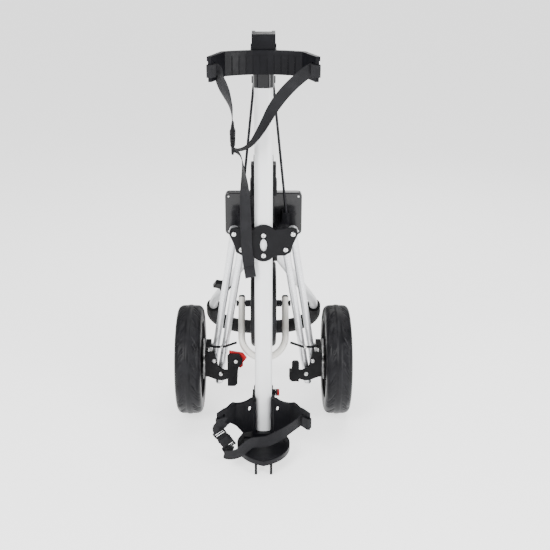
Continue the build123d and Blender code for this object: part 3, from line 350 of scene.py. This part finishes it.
FINISH = {
    "main_tube": WHITE, "handle_loop": WHITE, "fork_tube": CREAM,
    "head_collar": GLOSS, "console_base": GLOSS, "console_cover": GLOSS, "tube_plug": BLACK,
    "upper_cradle": CRADLE, "lower_cradle": CRADLE, "base_plate": CRADLE, "head_housing": CRADLE,
    "leg_pivot_bolts": BRIGHT, "frame_bolts": BRIGHT, "head_pin": DARK_STEEL,
    "fork_pivot_pin": DARK_STEEL, "front_axle": DARK_STEEL, "handle_column": SILVER,
    "column_stays": DARK_STEEL, "grip_foam": FOAM, "scorecard_clip": CLEAR,
    "fork_clamp_knob": KNOB, "brake_pedal": RED, "front_tyre": TYRE,
    "front_wheel_bearings": BRIGHT,
}
for side_name, _ in SIDES:
    FINISH.update({
        f"{side_name}_outer_leg": SILVER, f"{side_name}_inner_leg": SILVER,
        f"{side_name}_inner_leg_ends": SILVER, f"{side_name}_outer_leg_eyes": SILVER,
        f"{side_name}_carrier_bolts": BRIGHT, f"{side_name}_brake_pin": BRIGHT,
        f"{side_name}_wheel_bearings": BRIGHT, f"{side_name}_tyre": TYRE,
        f"{side_name}_brake_cable": SHEATH,
    })
for node_name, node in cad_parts.items():
    finish = FINISH.get(node_name, BLACK)
    node.data.materials.clear()
    node.data.materials.append(finish)


# ---------------------------------------------------------------- mesh helpers
def finish_mesh(name, bm, material, body, replaced=(), sharp=38.0):
    bmesh.ops.recalc_face_normals(bm, faces=bm.faces)
    mesh = bpy.data.meshes.new(name)
    bm.to_mesh(mesh)
    bm.free()
    mesh.materials.append(material)
    for face in mesh.polygons:
        face.use_smooth = True
    mesh.set_sharp_from_angle(angle=math.radians(sharp))
    piece = bpy.data.objects.new(name, mesh)
    bpy.context.scene.collection.objects.link(piece)
    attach(piece, body)
    if replaced:
        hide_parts(*replaced)
    return piece


def bridge(bm, rings, closed_ring=True, caps=True):
    """Skins a list of equal rings of vertices."""
    count = len(rings[0])
    for low, high in zip(rings, rings[1:]):
        for i in range(count if closed_ring else count - 1):
            j = (i + 1) % count
            bm.faces.new((low[i], low[j], high[j], high[i]))
    if caps:
        bm.faces.new(rings[0][::-1])
        bm.faces.new(rings[-1])


def hex_point(turn, radius):
    """Distance to a hexagon of this corner radius at an angle."""
    sector = (turn % (math.pi / 3)) - math.pi / 6
    return radius * math.cos(math.pi / 6) / math.cos(sector)


def turned(bm, origin, axis, steps, segments=24):
    """Closed shape about an axis from (along, radius, is a hexagon) steps, in millimetres."""
    axis = Vector(axis).normalized()
    across = Vector((1, 0, 0)) if abs(axis.x) < 0.5 else Vector((0, 0, 1))
    up = axis.cross(across)
    rings = []
    for along, radius, hexagon in steps:
        ring = []
        for i in range(segments):
            turn = 2 * math.pi * i / segments
            reach = hex_point(turn, radius) if hexagon else radius
            ring.append(bm.verts.new(
                origin + axis * along * MM + (across * math.cos(turn) + up * math.sin(turn)) * reach * MM))
        rings.append(ring)
    bridge(bm, rings)


def pan_head(bm, seat, axis, radius=5.6, height=3.0, socket=2.3):
    """Domed button head with a hexagon socket; axis points out of the seat."""
    dome = [(0, radius, False), (0.25 * height, radius, False), (0.55 * height, 0.93 * radius, False),
            (0.82 * height, 0.78 * radius, False), (0.97 * height, 0.58 * radius, False),
            (height, socket * 1.16, False), (0.93 * height, socket, True),
            (0.35 * height, socket * 0.97, True), (0.22 * height, socket * 0.4, True)]
    turned(bm, seat, axis, dome)


def washer(bm, seat, axis, radius, thick, hole):
    steps = [(0, hole, False), (0, radius - 0.3, False), (0.3 * thick, radius, False),
             (0.7 * thick, radius, False), (thick, radius - 0.3, False), (thick, hole, False)]
    turned(bm, seat, axis, steps)


def nut(bm, seat, axis, radius=5.6, height=4.5, bolt=3.0, proud=2.5):
    """Chamfered hexagon nut with the threaded end of the bolt standing out of it."""
    steps = [(0, radius * 0.92, False), (0.6, radius, True), (height - 0.6, radius, True),
             (height, radius * 0.86, False), (height, bolt * 1.06, False)]
    along = height
    while along < height + proud - 0.8:
        steps += [(along + 0.2, bolt, False), (along + 0.4, bolt * 0.9, False), (along + 0.6, bolt, False)]
        along += 0.6
    steps += [(height + proud, bolt * 0.82, False)]
    turned(bm, seat, axis, steps)


def smooth_path(keys, steps):
    """Centripetal-like spline through keys of equal length tuples of numbers."""
    out = []
    for i in range(len(keys) - 1):
        before = keys[max(i - 1, 0)]
        first, second = keys[i], keys[i + 1]
        after = keys[min(i + 2, len(keys) - 1)]
        last = i == len(keys) - 2
        for s in range(steps + (1 if last else 0)):
            t = s / steps
            row = []
            for a, b, c, d in zip(before, first, second, after):
                row.append(0.5 * (2 * b + (c - a) * t + (2 * a - 5 * b + 4 * c - d) * t * t
                                  + (3 * b - a - 3 * c + d) * t ** 3))
            out.append(row)
    return out


def ribbon(bm, keys, steps=7, thick=1.5, start=0.0):
    """Webbing through keys of (x, depth, z, across x, across y, across z, width), in millimetres.

    The section has rolled selvedges; the map "strap" runs across and along in metres.
    """
    layer = bm.loops.layers.uv.get("strap") or bm.loops.layers.uv.new("strap")
    rows = smooth_path(keys, steps)
    centres = [at(r[0], r[1], r[2]) for r in rows]
    section = [(-1.0, 0.0), (-0.985, 0.42), (-0.93, 0.56), (-0.84, 0.44), (-0.45, 0.5), (0.0, 0.5),
               (0.45, 0.5), (0.84, 0.44), (0.93, 0.56), (0.985, 0.42), (1.0, 0.0), (0.985, -0.42),
               (0.93, -0.56), (0.84, -0.44), (0.45, -0.5), (0.0, -0.5), (-0.45, -0.5), (-0.84, -0.44),
               (-0.93, -0.56), (-0.985, -0.42)]
    rings, marks = [], []
    along = start
    for i, row in enumerate(rows):
        ahead = centres[min(i + 1, len(rows) - 1)] - centres[max(i - 1, 0)]
        ahead.normalize()
        across = Vector(row[3:6])
        across = (across - ahead * across.dot(ahead)).normalized()
        normal = ahead.cross(across)
        if i:
            along += (centres[i] - centres[i - 1]).length
        ring = []
        for u, v in section:
            ring.append(bm.verts.new(centres[i] + across * (u * row[6] / 2 * MM) + normal * (v * thick * MM)))
        rings.append(ring)
        marks.append((along, row[6] / 2 * MM))
    count = len(section)
    for i in range(len(rings) - 1):
        for j in range(count):
            k = (j + 1) % count
            face = bm.faces.new((rings[i][j], rings[i][k], rings[i + 1][k], rings[i + 1][j]))
            for loop, (row_at, spot) in zip(face.loops, ((i, j), (i, k), (i + 1, k), (i + 1, j))):
                loop[layer].uv = (section[spot][0] * marks[row_at][1], marks[row_at][0])
    for ring, i in ((rings[0], 0), (rings[-1], len(rings) - 1)):
        face = bm.faces.new(ring)
        for loop, spot in zip(face.loops, range(count)):
            loop[layer].uv = (section[spot][0] * marks[i][1], marks[i][0])
    return rows


def stitches(bm, centre, across, along, width, rows_of, pitch=2.6, length=1.9, lift=0.95):
    """A box of raised thread: short rounded stitches in lines across a strap."""
    across, along = Vector(across).normalized(), Vector(along).normalized()
    normal = across.cross(along)
    for line in rows_of:
        steps = int(width / pitch)
        for i in range(steps):
            middle = centre + across * ((i - (steps - 1) / 2) * pitch * MM) + along * (line * MM)
            for side in (1, -1):
                ends = []
                for t, r in ((-0.5, 0.12), (-0.3, 0.3), (0.0, 0.36), (0.3, 0.3), (0.5, 0.12)):
                    ring = []
                    for k in range(6):
                        turn = math.pi * 2 * k / 6
                        ring.append(bm.verts.new(
                            middle + across * (t * length * MM) + normal * side * (lift * MM)
                            + (along * math.cos(turn) + normal * math.sin(turn)) * r * MM))
                    ends.append(ring)
                bridge(bm, ends)


# ---------------------------------------------------------------- floor
bm = bmesh.new()
bmesh.ops.create_grid(bm, x_segments=2, y_segments=2, size=45.0)
floor_mesh = bpy.data.meshes.new("floor")
bm.to_mesh(floor_mesh)
bm.free()
floor = bpy.data.objects.new("floor", floor_mesh)
floor.location = (0, 0, -0.0006)
pale = Shader("studio_floor")
pale.colour(pale.blend(pale.noise(1.5, 2.0), (0.93, 0.93, 0.93), (0.96, 0.96, 0.96)))
pale.set(Roughness=0.6, Emission_Color=(1.0, 1.0, 1.0, 1.0), Emission_Strength=1.5)
floor_mesh.materials.append(pale.material)
bpy.context.scene.collection.objects.link(floor)


# ---------------------------------------------------------------- straps
WEB_WIDTH = 24.5


def mirrored(keys):
    """The same keys on the other side of the tube."""
    return [(-x, d, z, -ax, ay, az, w) for x, d, z, ax, ay, az, w in keys]


# Round the end of a cradle's wing and through its slot, seen from the right hand side.
def wing_wrap(z, slot_d, tip_d, slot_x, tip_x, way):
    """Keys from the sewn end inside the wing, round its tip and in through the slot."""
    inner, outer = slot_x - 5.6, slot_x + 5.4
    return [(inner - 1.2, slot_d - 9, z, 0, 0, way, WEB_WIDTH),
            (tip_x - 9.3, tip_d - 1.0, z, 0, 0, way, WEB_WIDTH),
            (tip_x - 4.0, tip_d - 4.2, z, 0, 0, way, WEB_WIDTH),
            (tip_x + 1.9, tip_d - 1.4, z, 0, 0, way, WEB_WIDTH),
            (outer + 2.2, slot_d - 5.5, z, 0, 0, way, WEB_WIDTH),
            (slot_x + 1.0, slot_d, z, 0, 0, way, WEB_WIDTH - 0.5),
            (inner - 1.0, slot_d + 1.0, z, 0, 0, way, WEB_WIDTH - 0.5)]


UPPER_SLOT = (915.0, -90.0, -106.5, 100.0, 108.5)
LOWER_SLOT = (118.0, -66.0, -78.5, 95.5, 107.0)

bm = bmesh.new()
# left leg: out of the slot, down to the buckle, turning edge on
left_leg = mirrored(wing_wrap(*UPPER_SLOT, 1)) + [
    (-88, -87, 905, 0.80, -0.35, -0.50, WEB_WIDTH),
    (-83.5, -79, 889, 0.90, -0.42, -0.10, WEB_WIDTH),
    (-78.5, -69, 873, 0.86, -0.50, 0.0, WEB_WIDTH),
    (-72.5, -58, 853, 0.60, -0.80, 0.0, WEB_WIDTH),
    (-67.5, -47, 834, 0.30, -0.95, 0.0, WEB_WIDTH),
    (-65.0, -39, 815, 0.08, -1.0, 0.0, WEB_WIDTH),
    (-64.0, -35, 799, 0.0, -1.0, 0.0, WEB_WIDTH),
    (-64.0, -34, 789, 0.0, -1.0, 0.0, WEB_WIDTH)]
ribbon(bm, left_leg)
# right leg: from the foot of the buckle, across the tube and up to the right hand slot
right_leg = [
    (-64, -35, 752, 0.0, -1.0, 0.0, WEB_WIDTH),
    (-61, -35, 745, 0.0, -1.0, 0.0, WEB_WIDTH),
    (-52, -34, 743, 0.0, -1.0, 0.0, WEB_WIDTH),
    (-38, -31.5, 746.5, 0.08, -0.98, -0.10, WEB_WIDTH),
    (-24, -29, 757, 0.22, -0.93, -0.22, WEB_WIDTH),
    (-10, -27, 776, 0.42, -0.82, -0.33, WEB_WIDTH),
    (4, -27, 800, 0.60, -0.66, -0.40, WEB_WIDTH),
    (19, -30, 828, 0.74, -0.42, -0.45, WEB_WIDTH),
    (38, -43, 857, 0.78, -0.20, -0.56, WEB_WIDTH),
    (58, -61, 882, 0.74, -0.05, -0.67, WEB_WIDTH),
    (76, -78, 901, 0.62, 0.10, -0.78, WEB_WIDTH),
    (88, -88, 912, 0.30, 0.05, -0.95, WEB_WIDTH)]
ribbon(bm, right_leg + wing_wrap(*UPPER_SLOT, -1)[::-1])
# spare tail, which hangs beside the tube to a folded hem
tail = [
    (-63, -35, 741, 0.0, -1.0, 0.0, WEB_WIDTH),
    (-57, -33.5, 739, 0.0, -1.0, 0.0, WEB_WIDTH),
    (-49.5, -28, 731, 0.04, -1.0, 0.0, WEB_WIDTH),
    (-44, -21, 714, 0.10, -0.99, 0.0, WEB_WIDTH),
    (-42, -16.5, 690, 0.34, -0.94, 0.0, WEB_WIDTH),
    (-40.5, -15, 662, 0.68, -0.73, 0.0, WEB_WIDTH),
    (-40, -14, 636, 0.88, -0.47, 0.0, WEB_WIDTH),
    (-39, -13, 600, 0.98, -0.20, 0.0, WEB_WIDTH),
    (-38, -12.5, 560, 1.0, -0.05, 0.02, WEB_WIDTH),
    (-36.5, -12.5, 515, 1.0, 0.05, 0.04, WEB_WIDTH),
    (-32, -13, 476, 0.99, 0.08, 0.10, WEB_WIDTH),
    (-28.5, -14, 452, 0.98, 0.10, 0.12, WEB_WIDTH)]
ribbon(bm, tail)
hem = [(-32, -14.7, 474, 0.99, 0.08, 0.10, WEB_WIDTH), (-30, -15.3, 463, 0.98, 0.08, 0.11, WEB_WIDTH),
       (-28.6, -15.8, 453, 0.98, 0.10, 0.12, WEB_WIDTH), (-28.2, -14.9, 450.4, 0.98, 0.10, 0.12, WEB_WIDTH)]
ribbon(bm, hem, steps=4)
finish_mesh("upper_webbing", bm, WEB, "frame", ("upper_strap",), 60)

bm = bmesh.new()
thread = Vector((0, 0, 1))
stitches(bm, at(-31.3, -14.4, 470), (0.99, 0.08, 0.10), (0.1, 0.0, -1.0), 20, (-2.2, 2.2), lift=1.55)
for side in (-1, 1):
    stitches(bm, at(side * 92.8, -93.0, 915), thread, (side * 0.28, -0.96, 0), 20, (-3.5, 0.5), lift=1.7)
finish_mesh("upper_stitching", bm, DARK_STEEL, "frame", sharp=80)


def buckle(name, centre, along, wide, size, body, replaced):
    """Side release buckle: a socket with windows, two sprung prongs and a ladder bar at each end."""
    length, width, thick = size
    along, wide = Vector(along).normalized(), Vector(wide)
    wide = (wide - along * wide.dot(along)).normalized()
    face = along.cross(wide)
    bm = bmesh.new()

    def hull(stations, sides=28):
        rings = []
        for t, w, h, shift in stations:
            ring = []
            for i in range(sides):
                turn = 2 * math.pi * i / sides
                c, s = math.cos(turn), math.sin(turn)
                x = math.copysign(abs(c) ** 0.42, c) * w / 2
                y = math.copysign(abs(s) ** 0.55, s) * h / 2
                ring.append(bm.verts.new(centre + (along * t + wide * (x + shift) + face * y) * MM))
            rings.append(ring)
        bridge(bm, rings)

    half = length / 2
    # socket
    hull([(-half * 0.62, width * 0.84, thick * 0.55, 0), (-half * 0.58, width * 0.93, thick * 0.8, 0),
          (-half * 0.40, width, thick * 0.97, 0), (-half * 0.12, width, thick, 0),
          (-half * 0.08, width * 0.78, thick, 0), (half * 0.10, width * 0.76, thick, 0),
          (half * 0.14, width * 0.97, thick * 0.98, 0), (half * 0.22, width * 0.95, thick * 0.92, 0),
          (half * 0.25, width * 0.90, thick * 0.80, 0)])
    # prongs in the windows and the plug's shoulder
    for side in (-1, 1):
        hull([(-half * 0.10, width * 0.05, thick * 0.3, side * width * 0.43),
              (-half * 0.05, width * 0.13, thick * 0.6, side * width * 0.45),
              (half * 0.03, width * 0.15, thick * 0.62, side * width * 0.455),
              (half * 0.11, width * 0.10, thick * 0.55, side * width * 0.43)], 16)
    hull([(half * 0.27, width * 0.80, thick * 0.70, 0), (half * 0.30, width * 0.90, thick * 0.82, 0),
          (half * 0.46, width * 0.92, thick * 0.80, 0), (half * 0.50, width * 0.86, thick * 0.62, 0)])
    # rails and ladder bars
    for end in (-1, 1):
        near, far = (0.56, 0.98) if end < 0 else (0.46, 0.98)
        for side in (-1, 1):
            hull([(end * half * near, width * 0.10, thick * 0.55, side * width * 0.43),
                  (end * half * (far - 0.1), width * 0.11, thick * 0.50, side * width * 0.43),
                  (end * half * far, width * 0.07, thick * 0.34, side * width * 0.42)], 14)
        for t, h in ((near + 0.20, 0.34), (far - 0.08, 0.42)):
            hull([(end * half * (t - 0.045), width * 0.84, thick * h * 0.7, 0),
                  (end * half * t, width * 0.88, thick * h, 0),
                  (end * half * (t + 0.045), width * 0.84, thick * h * 0.7, 0)], 18)
    # grip ridges on both faces
    for side in (-1, 1):
        for t in (-0.46, -0.36, -0.26, 0.34, 0.41):
            shift = face * (side * thick * (0.47 if t < 0 else 0.39))
            ring_centre = centre + (along * (t * half)) * MM + shift * MM
            ridge = width * 0.6
            turned(bm, ring_centre - wide * (ridge / 2 * MM), wide,
                   [(0, 0.4, False), (0.5, 0.75, False), (ridge - 0.5, 0.75, False), (ridge, 0.4, False)], 8)
    return finish_mesh(name, bm, BLACK, body, replaced, 40)


buckle("upper_side_release_buckle", at(-64, -34, 768), (0, 0, -1), (0, 1, 0), (66, 33, 11.5),
       "frame", ("upper_buckle",))

bm = bmesh.new()
lower_main = wing_wrap(*LOWER_SLOT, -1) + [
    (80, -69, 113, -0.15, 0.0, -0.98, WEB_WIDTH),
    (64, -74, 103, -0.36, -0.05, -0.93, WEB_WIDTH),
    (46, -79, 92, -0.42, -0.15, -0.88, WEB_WIDTH),
    (27, -83, 82, -0.36, -0.32, -0.86, WEB_WIDTH),
    (8, -86, 74.5, -0.20, -0.38, -0.90, WEB_WIDTH),
    (-11, -88, 73, 0.05, -0.28, -0.95, WEB_WIDTH),
    (-27, -90, 72, 0.16, -0.12, -0.97, WEB_WIDTH),
    (-41, -92, 62, 0.30, 0.0, -0.95, WEB_WIDTH),
    (-54, -93, 49, 0.25, 0.05, -0.97, WEB_WIDTH),
    (-70, -92.5, 42, 0.06, 0.05, -1.0, WEB_WIDTH),
    (-84, -90.5, 40.5, 0.0, 0.05, -1.0, WEB_WIDTH),
    (-90.5, -86.5, 41.5, 0.0, 0.0, -1.0, WEB_WIDTH),
    (-87, -82.5, 46, 0.45, 0.0, -0.9, WEB_WIDTH),
    (-80.5, -84, 56, 0.8, 0.0, -0.6, WEB_WIDTH),
    (-79, -86.5, 64, 0.8, 0.0, -0.6, WEB_WIDTH)]
ribbon(bm, lower_main)
lower_left = mirrored(wing_wrap(*LOWER_SLOT, 1))[:6][::-1]
ribbon(bm, lower_left + [(-104.5, -84.0, 108, -0.75, 0.0, 0.66, WEB_WIDTH),
                         (-101, -86.5, 98, -0.8, 0.0, 0.6, WEB_WIDTH)])
finish_mesh("lower_webbing", bm, WEB, "frame", ("lower_strap",), 60)

bm = bmesh.new()
stitches(bm, at(87.0, -74.0, 118), thread, (0.6, -0.8, 0), 20, (-3.5, 0.5), lift=1.7)
finish_mesh("lower_stitching", bm, DARK_STEEL, "frame", sharp=80)

buckle("lower_side_release_buckle", at(-90, -87, 81), (-0.6, 0.06, 0.8), (0.8, 0, 0.6), (52, 31, 10.5),
       "frame", ("lower_buckle",))


# ---------------------------------------------------------------- tyres with a moulded swoosh tread
# each groove of one repeat: its offset round the tyre, where it starts across, its bow and half width
GROOVES = ((0.0, 0.0, 0.62, 0.050), (0.30, 0.1, 0.50, 0.036), (0.62, 0.25, 0.34, 0.030))


def tread_depth(turn, across, repeats):
    """Depth in millimetres of the shallow curved grooves, across from -1 to 1 over the tread."""
    deepest = 0.0
    side = 1 if across > 0 else -1
    reach = (abs(across) - 0.24) / 0.74
    if not 0.0 < reach < 1.0:
        return 0.0
    phase = turn / (2 * math.pi) * repeats + (0.5 if side > 0 else 0.0)
    fade = min(1.0, reach / 0.18, (1.0 - reach) / 0.22)
    for offset, start, bow, width in GROOVES:
        if reach < start:
            continue
        line = offset + bow * math.sin((reach - start) / (1 - start) * math.pi * 0.5) ** 1.5
        gap = (phase - line + 0.5) % 1.0 - 0.5
        if abs(gap) < width * 2.4:
            deepest = max(deepest, fade * math.exp(-((gap / width) ** 2)))
    return deepest


SHOULDER = 11.0


def tyre(name, node, body, middle, radius, width, bore, repeats, groove):
    """Turned tyre with rounded shoulders, a raised centre band and grooves cut by moving its skin."""
    bm = bmesh.new()
    half = width / 2
    crown = radius - 1.4
    outline = [(-half + 2.2, bore), (-half + 0.6, bore + 3.0), (-half, bore + 8.0), (-half, crown * 0.885)]
    for i in range(1, 8):
        turn = math.radians(90 * i / 8)
        reach = crown * (0.885 + 0.105 * math.sin(turn))
        outline.append((-half + SHOULDER * (1 - math.cos(turn)), reach))
    samples = 26
    for i in range(samples + 1):
        x = (-half + SHOULDER) + (width - 2 * SHOULDER) * i / samples
        band = 1.0 / (1.0 + math.exp((abs(x) - 5.0) * 2.4))
        outline.append((x, crown * 0.99 + 0.01 * crown * (1 - (x / half) ** 2) + 1.4 * band))
    outline += [(-x, r) for x, r in outline[:11]][::-1]
    count = 288
    rings = []
    for i in range(count):
        turn = 2 * math.pi * i / count
        ring = []
        for x, r in outline:
            cut = tread_depth(turn, x / half, repeats) * groove if r > radius * 0.885 else 0.0
            reach = (r - cut) * MM
            place = Vector((x * MM, math.cos(turn) * reach, math.sin(turn) * reach))
            ring.append(bm.verts.new(middle + place))
        rings.append(ring)
    for i in range(count):
        low, high = rings[i], rings[(i + 1) % count]
        for j in range(len(outline)):
            k = (j + 1) % len(outline)
            bm.faces.new((low[j], low[k], high[k], high[j]))
    return finish_mesh(name, bm, TYRE, body, (node,), 50)


def box_centre(node):
    low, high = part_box(node)
    return (Vector(low) + Vector(high)) / 2


# radius, width, bore, repeats of the tread and depth of its grooves
MAIN_TYRE = (140.0, 64.0, 100.1, 15, 2.2)
FRONT_TYRE = (110.0, 62.0, 72.1, 13, 2.0)
for side_name, _ in SIDES:
    node_name = f"{side_name}_tyre"
    tyre(f"{side_name}_foam_tyre", node_name, f"{side_name}_wheel", box_centre(node_name), *MAIN_TYRE)
tyre("front_foam_tyre", "front_tyre", "front_wheel", box_centre("front_tyre"), *FRONT_TYRE)

# ---------------------------------------------------------------- bolts with hexagon sockets
TOWARDS_BAG = (0, -1, 0)
AWAY = (0, 1, 0)
BOLT_R = 3.0
AXLE_R = 6.0


def shank(bm, start, axis, length, radius=BOLT_R):
    turned(bm, start, axis, [(0, radius, False), (length, radius, False)])


def through_bolt(bm, x, z, head_d, seat_d, proud=1.4):
    """Button head bolt along Y with a shank, a washer and a nut on its far end."""
    pan_head(bm, at(x, head_d, z), TOWARDS_BAG)
    shank(bm, at(x, head_d + 0.2, z), AWAY, seat_d - head_d)
    washer(bm, at(x, seat_d - 0.4, z), AWAY, 5.9, 0.9, BOLT_R)
    nut(bm, at(x, seat_d + 0.5, z), AWAY, 5.4, 4.2, BOLT_R, proud)


BRACKET_HEAD_D = -5.4
bm = bmesh.new()
for x, z in ((-65, 548), (-49, 512), (49, 512), (65, 548)):
    through_bolt(bm, x, z, BRACKET_HEAD_D, 31.5)
finish_mesh("leg_pivot_button_bolts", bm, BRIGHT, "frame", ("leg_pivot_bolts",), 32)

bm = bmesh.new()
for z in (498, 545):
    through_bolt(bm, 0, z, BRACKET_HEAD_D, 40.5)
# across the tube through the lower cradle
for side in (-1, 1):
    pan_head(bm, at(side * 27.2, 13, 68), (side, 0, 0), 5.0, 2.4, 2.0)
shank(bm, at(-27.1, 13, 68), (1, 0, 0), 54.2)
# from behind into the tube through the fork mount
for z in (98, 146):
    shank(bm, at(0, 29.0, z), AWAY, 12)
    pan_head(bm, at(0, 40.9, z), AWAY, 4.6, 1.8, 1.9)
finish_mesh("frame_button_bolts", bm, BRIGHT, "frame", ("frame_bolts",), 32)

WHEEL_D = 207.0
WHEEL_Z = 140.0
PEDAL_PIVOT = (-67, 191)
CHEEK_D = 88.0
for side_name, side in SIDES:
    bm = bmesh.new()
    for x, z in ((123, 167), (107, 131)):
        through_bolt(bm, side * x, z, 139.9, 180.5)
    hub = at(0, WHEEL_D, WHEEL_Z)
    out = (side, 0, 0)

    def on_axle(x):
        return hub + Vector((side * x * MM, 0, 0))

    shank(bm, on_axle(133), out, 76.8, AXLE_R)
    washer(bm, on_axle(146.3), out, 9.0, 6.2, AXLE_R)
    nut(bm, on_axle(209.6), out, 9.4, 4.9, AXLE_R, 0.2)
    nut(bm, on_axle(132.7), (-side, 0, 0), 9.4, 4.9, AXLE_R, 1.0)
    if side < 0:
        x, z = PEDAL_PIVOT
        pan_head(bm, at(x, CHEEK_D - 0.1, z), TOWARDS_BAG, 5.0, 2.5, 2.0)
        shank(bm, at(x, CHEEK_D, z), AWAY, 22.6)
        nut(bm, at(x, CHEEK_D + 22.6, z), AWAY, 5.4, 3.4, BOLT_R, 0.9)
    finish_mesh(f"{side_name}_carrier_button_bolts", bm, BRIGHT, f"{side_name}_carrier",
                (f"{side_name}_carrier_bolts",), 32)

    # ferrule at the cable's stop and the chrome clip where it passes the legs
    bm = bmesh.new()
    turned(bm, at(side * 136, 143.4, 193.3), (0, 0, 1),
           [(0, 3.2, False), (0, 4.6, False), (1.5, 4.8, False), (1.8, 4.0, False), (8.5, 4.0, False),
            (9.0, 3.6, False), (9.2, 3.05, False)])
    finish_mesh(f"{side_name}_cable_ferrule", bm, BRIGHT, f"{side_name}_carrier", (), 32)
    bm = bmesh.new()
    run = (side * -23, -11, 5)
    spot = at(side * 104.3, 119.0, 215.6)
    turned(bm, spot, run, [(0, 3.1, False), (0, 4.3, False), (0.7, 4.8, False), (6.3, 4.8, False),
                           (7.0, 4.3, False), (7.0, 3.1, False)])
    pan_head(bm, spot + Vector((side * -2.8, -4.4, 1.0)) * MM, TOWARDS_BAG, 2.3, 1.5, 0.9)
    finish_mesh(f"{side_name}_cable_clip", bm, BRIGHT, f"{side_name}_carrier", (), 32)

# ---------------------------------------------------------------- console screws
bm = bmesh.new()
CONSOLE_FACE = 85.0
for x in (-79, 79):
    for z in (526, 608):
        pan_head(bm, at(x, CONSOLE_FACE, z), TOWARDS_BAG, 2.5, 1.2, 1.0)
finish_mesh("console_screws", bm, BRIGHT, "handle", (), 32)
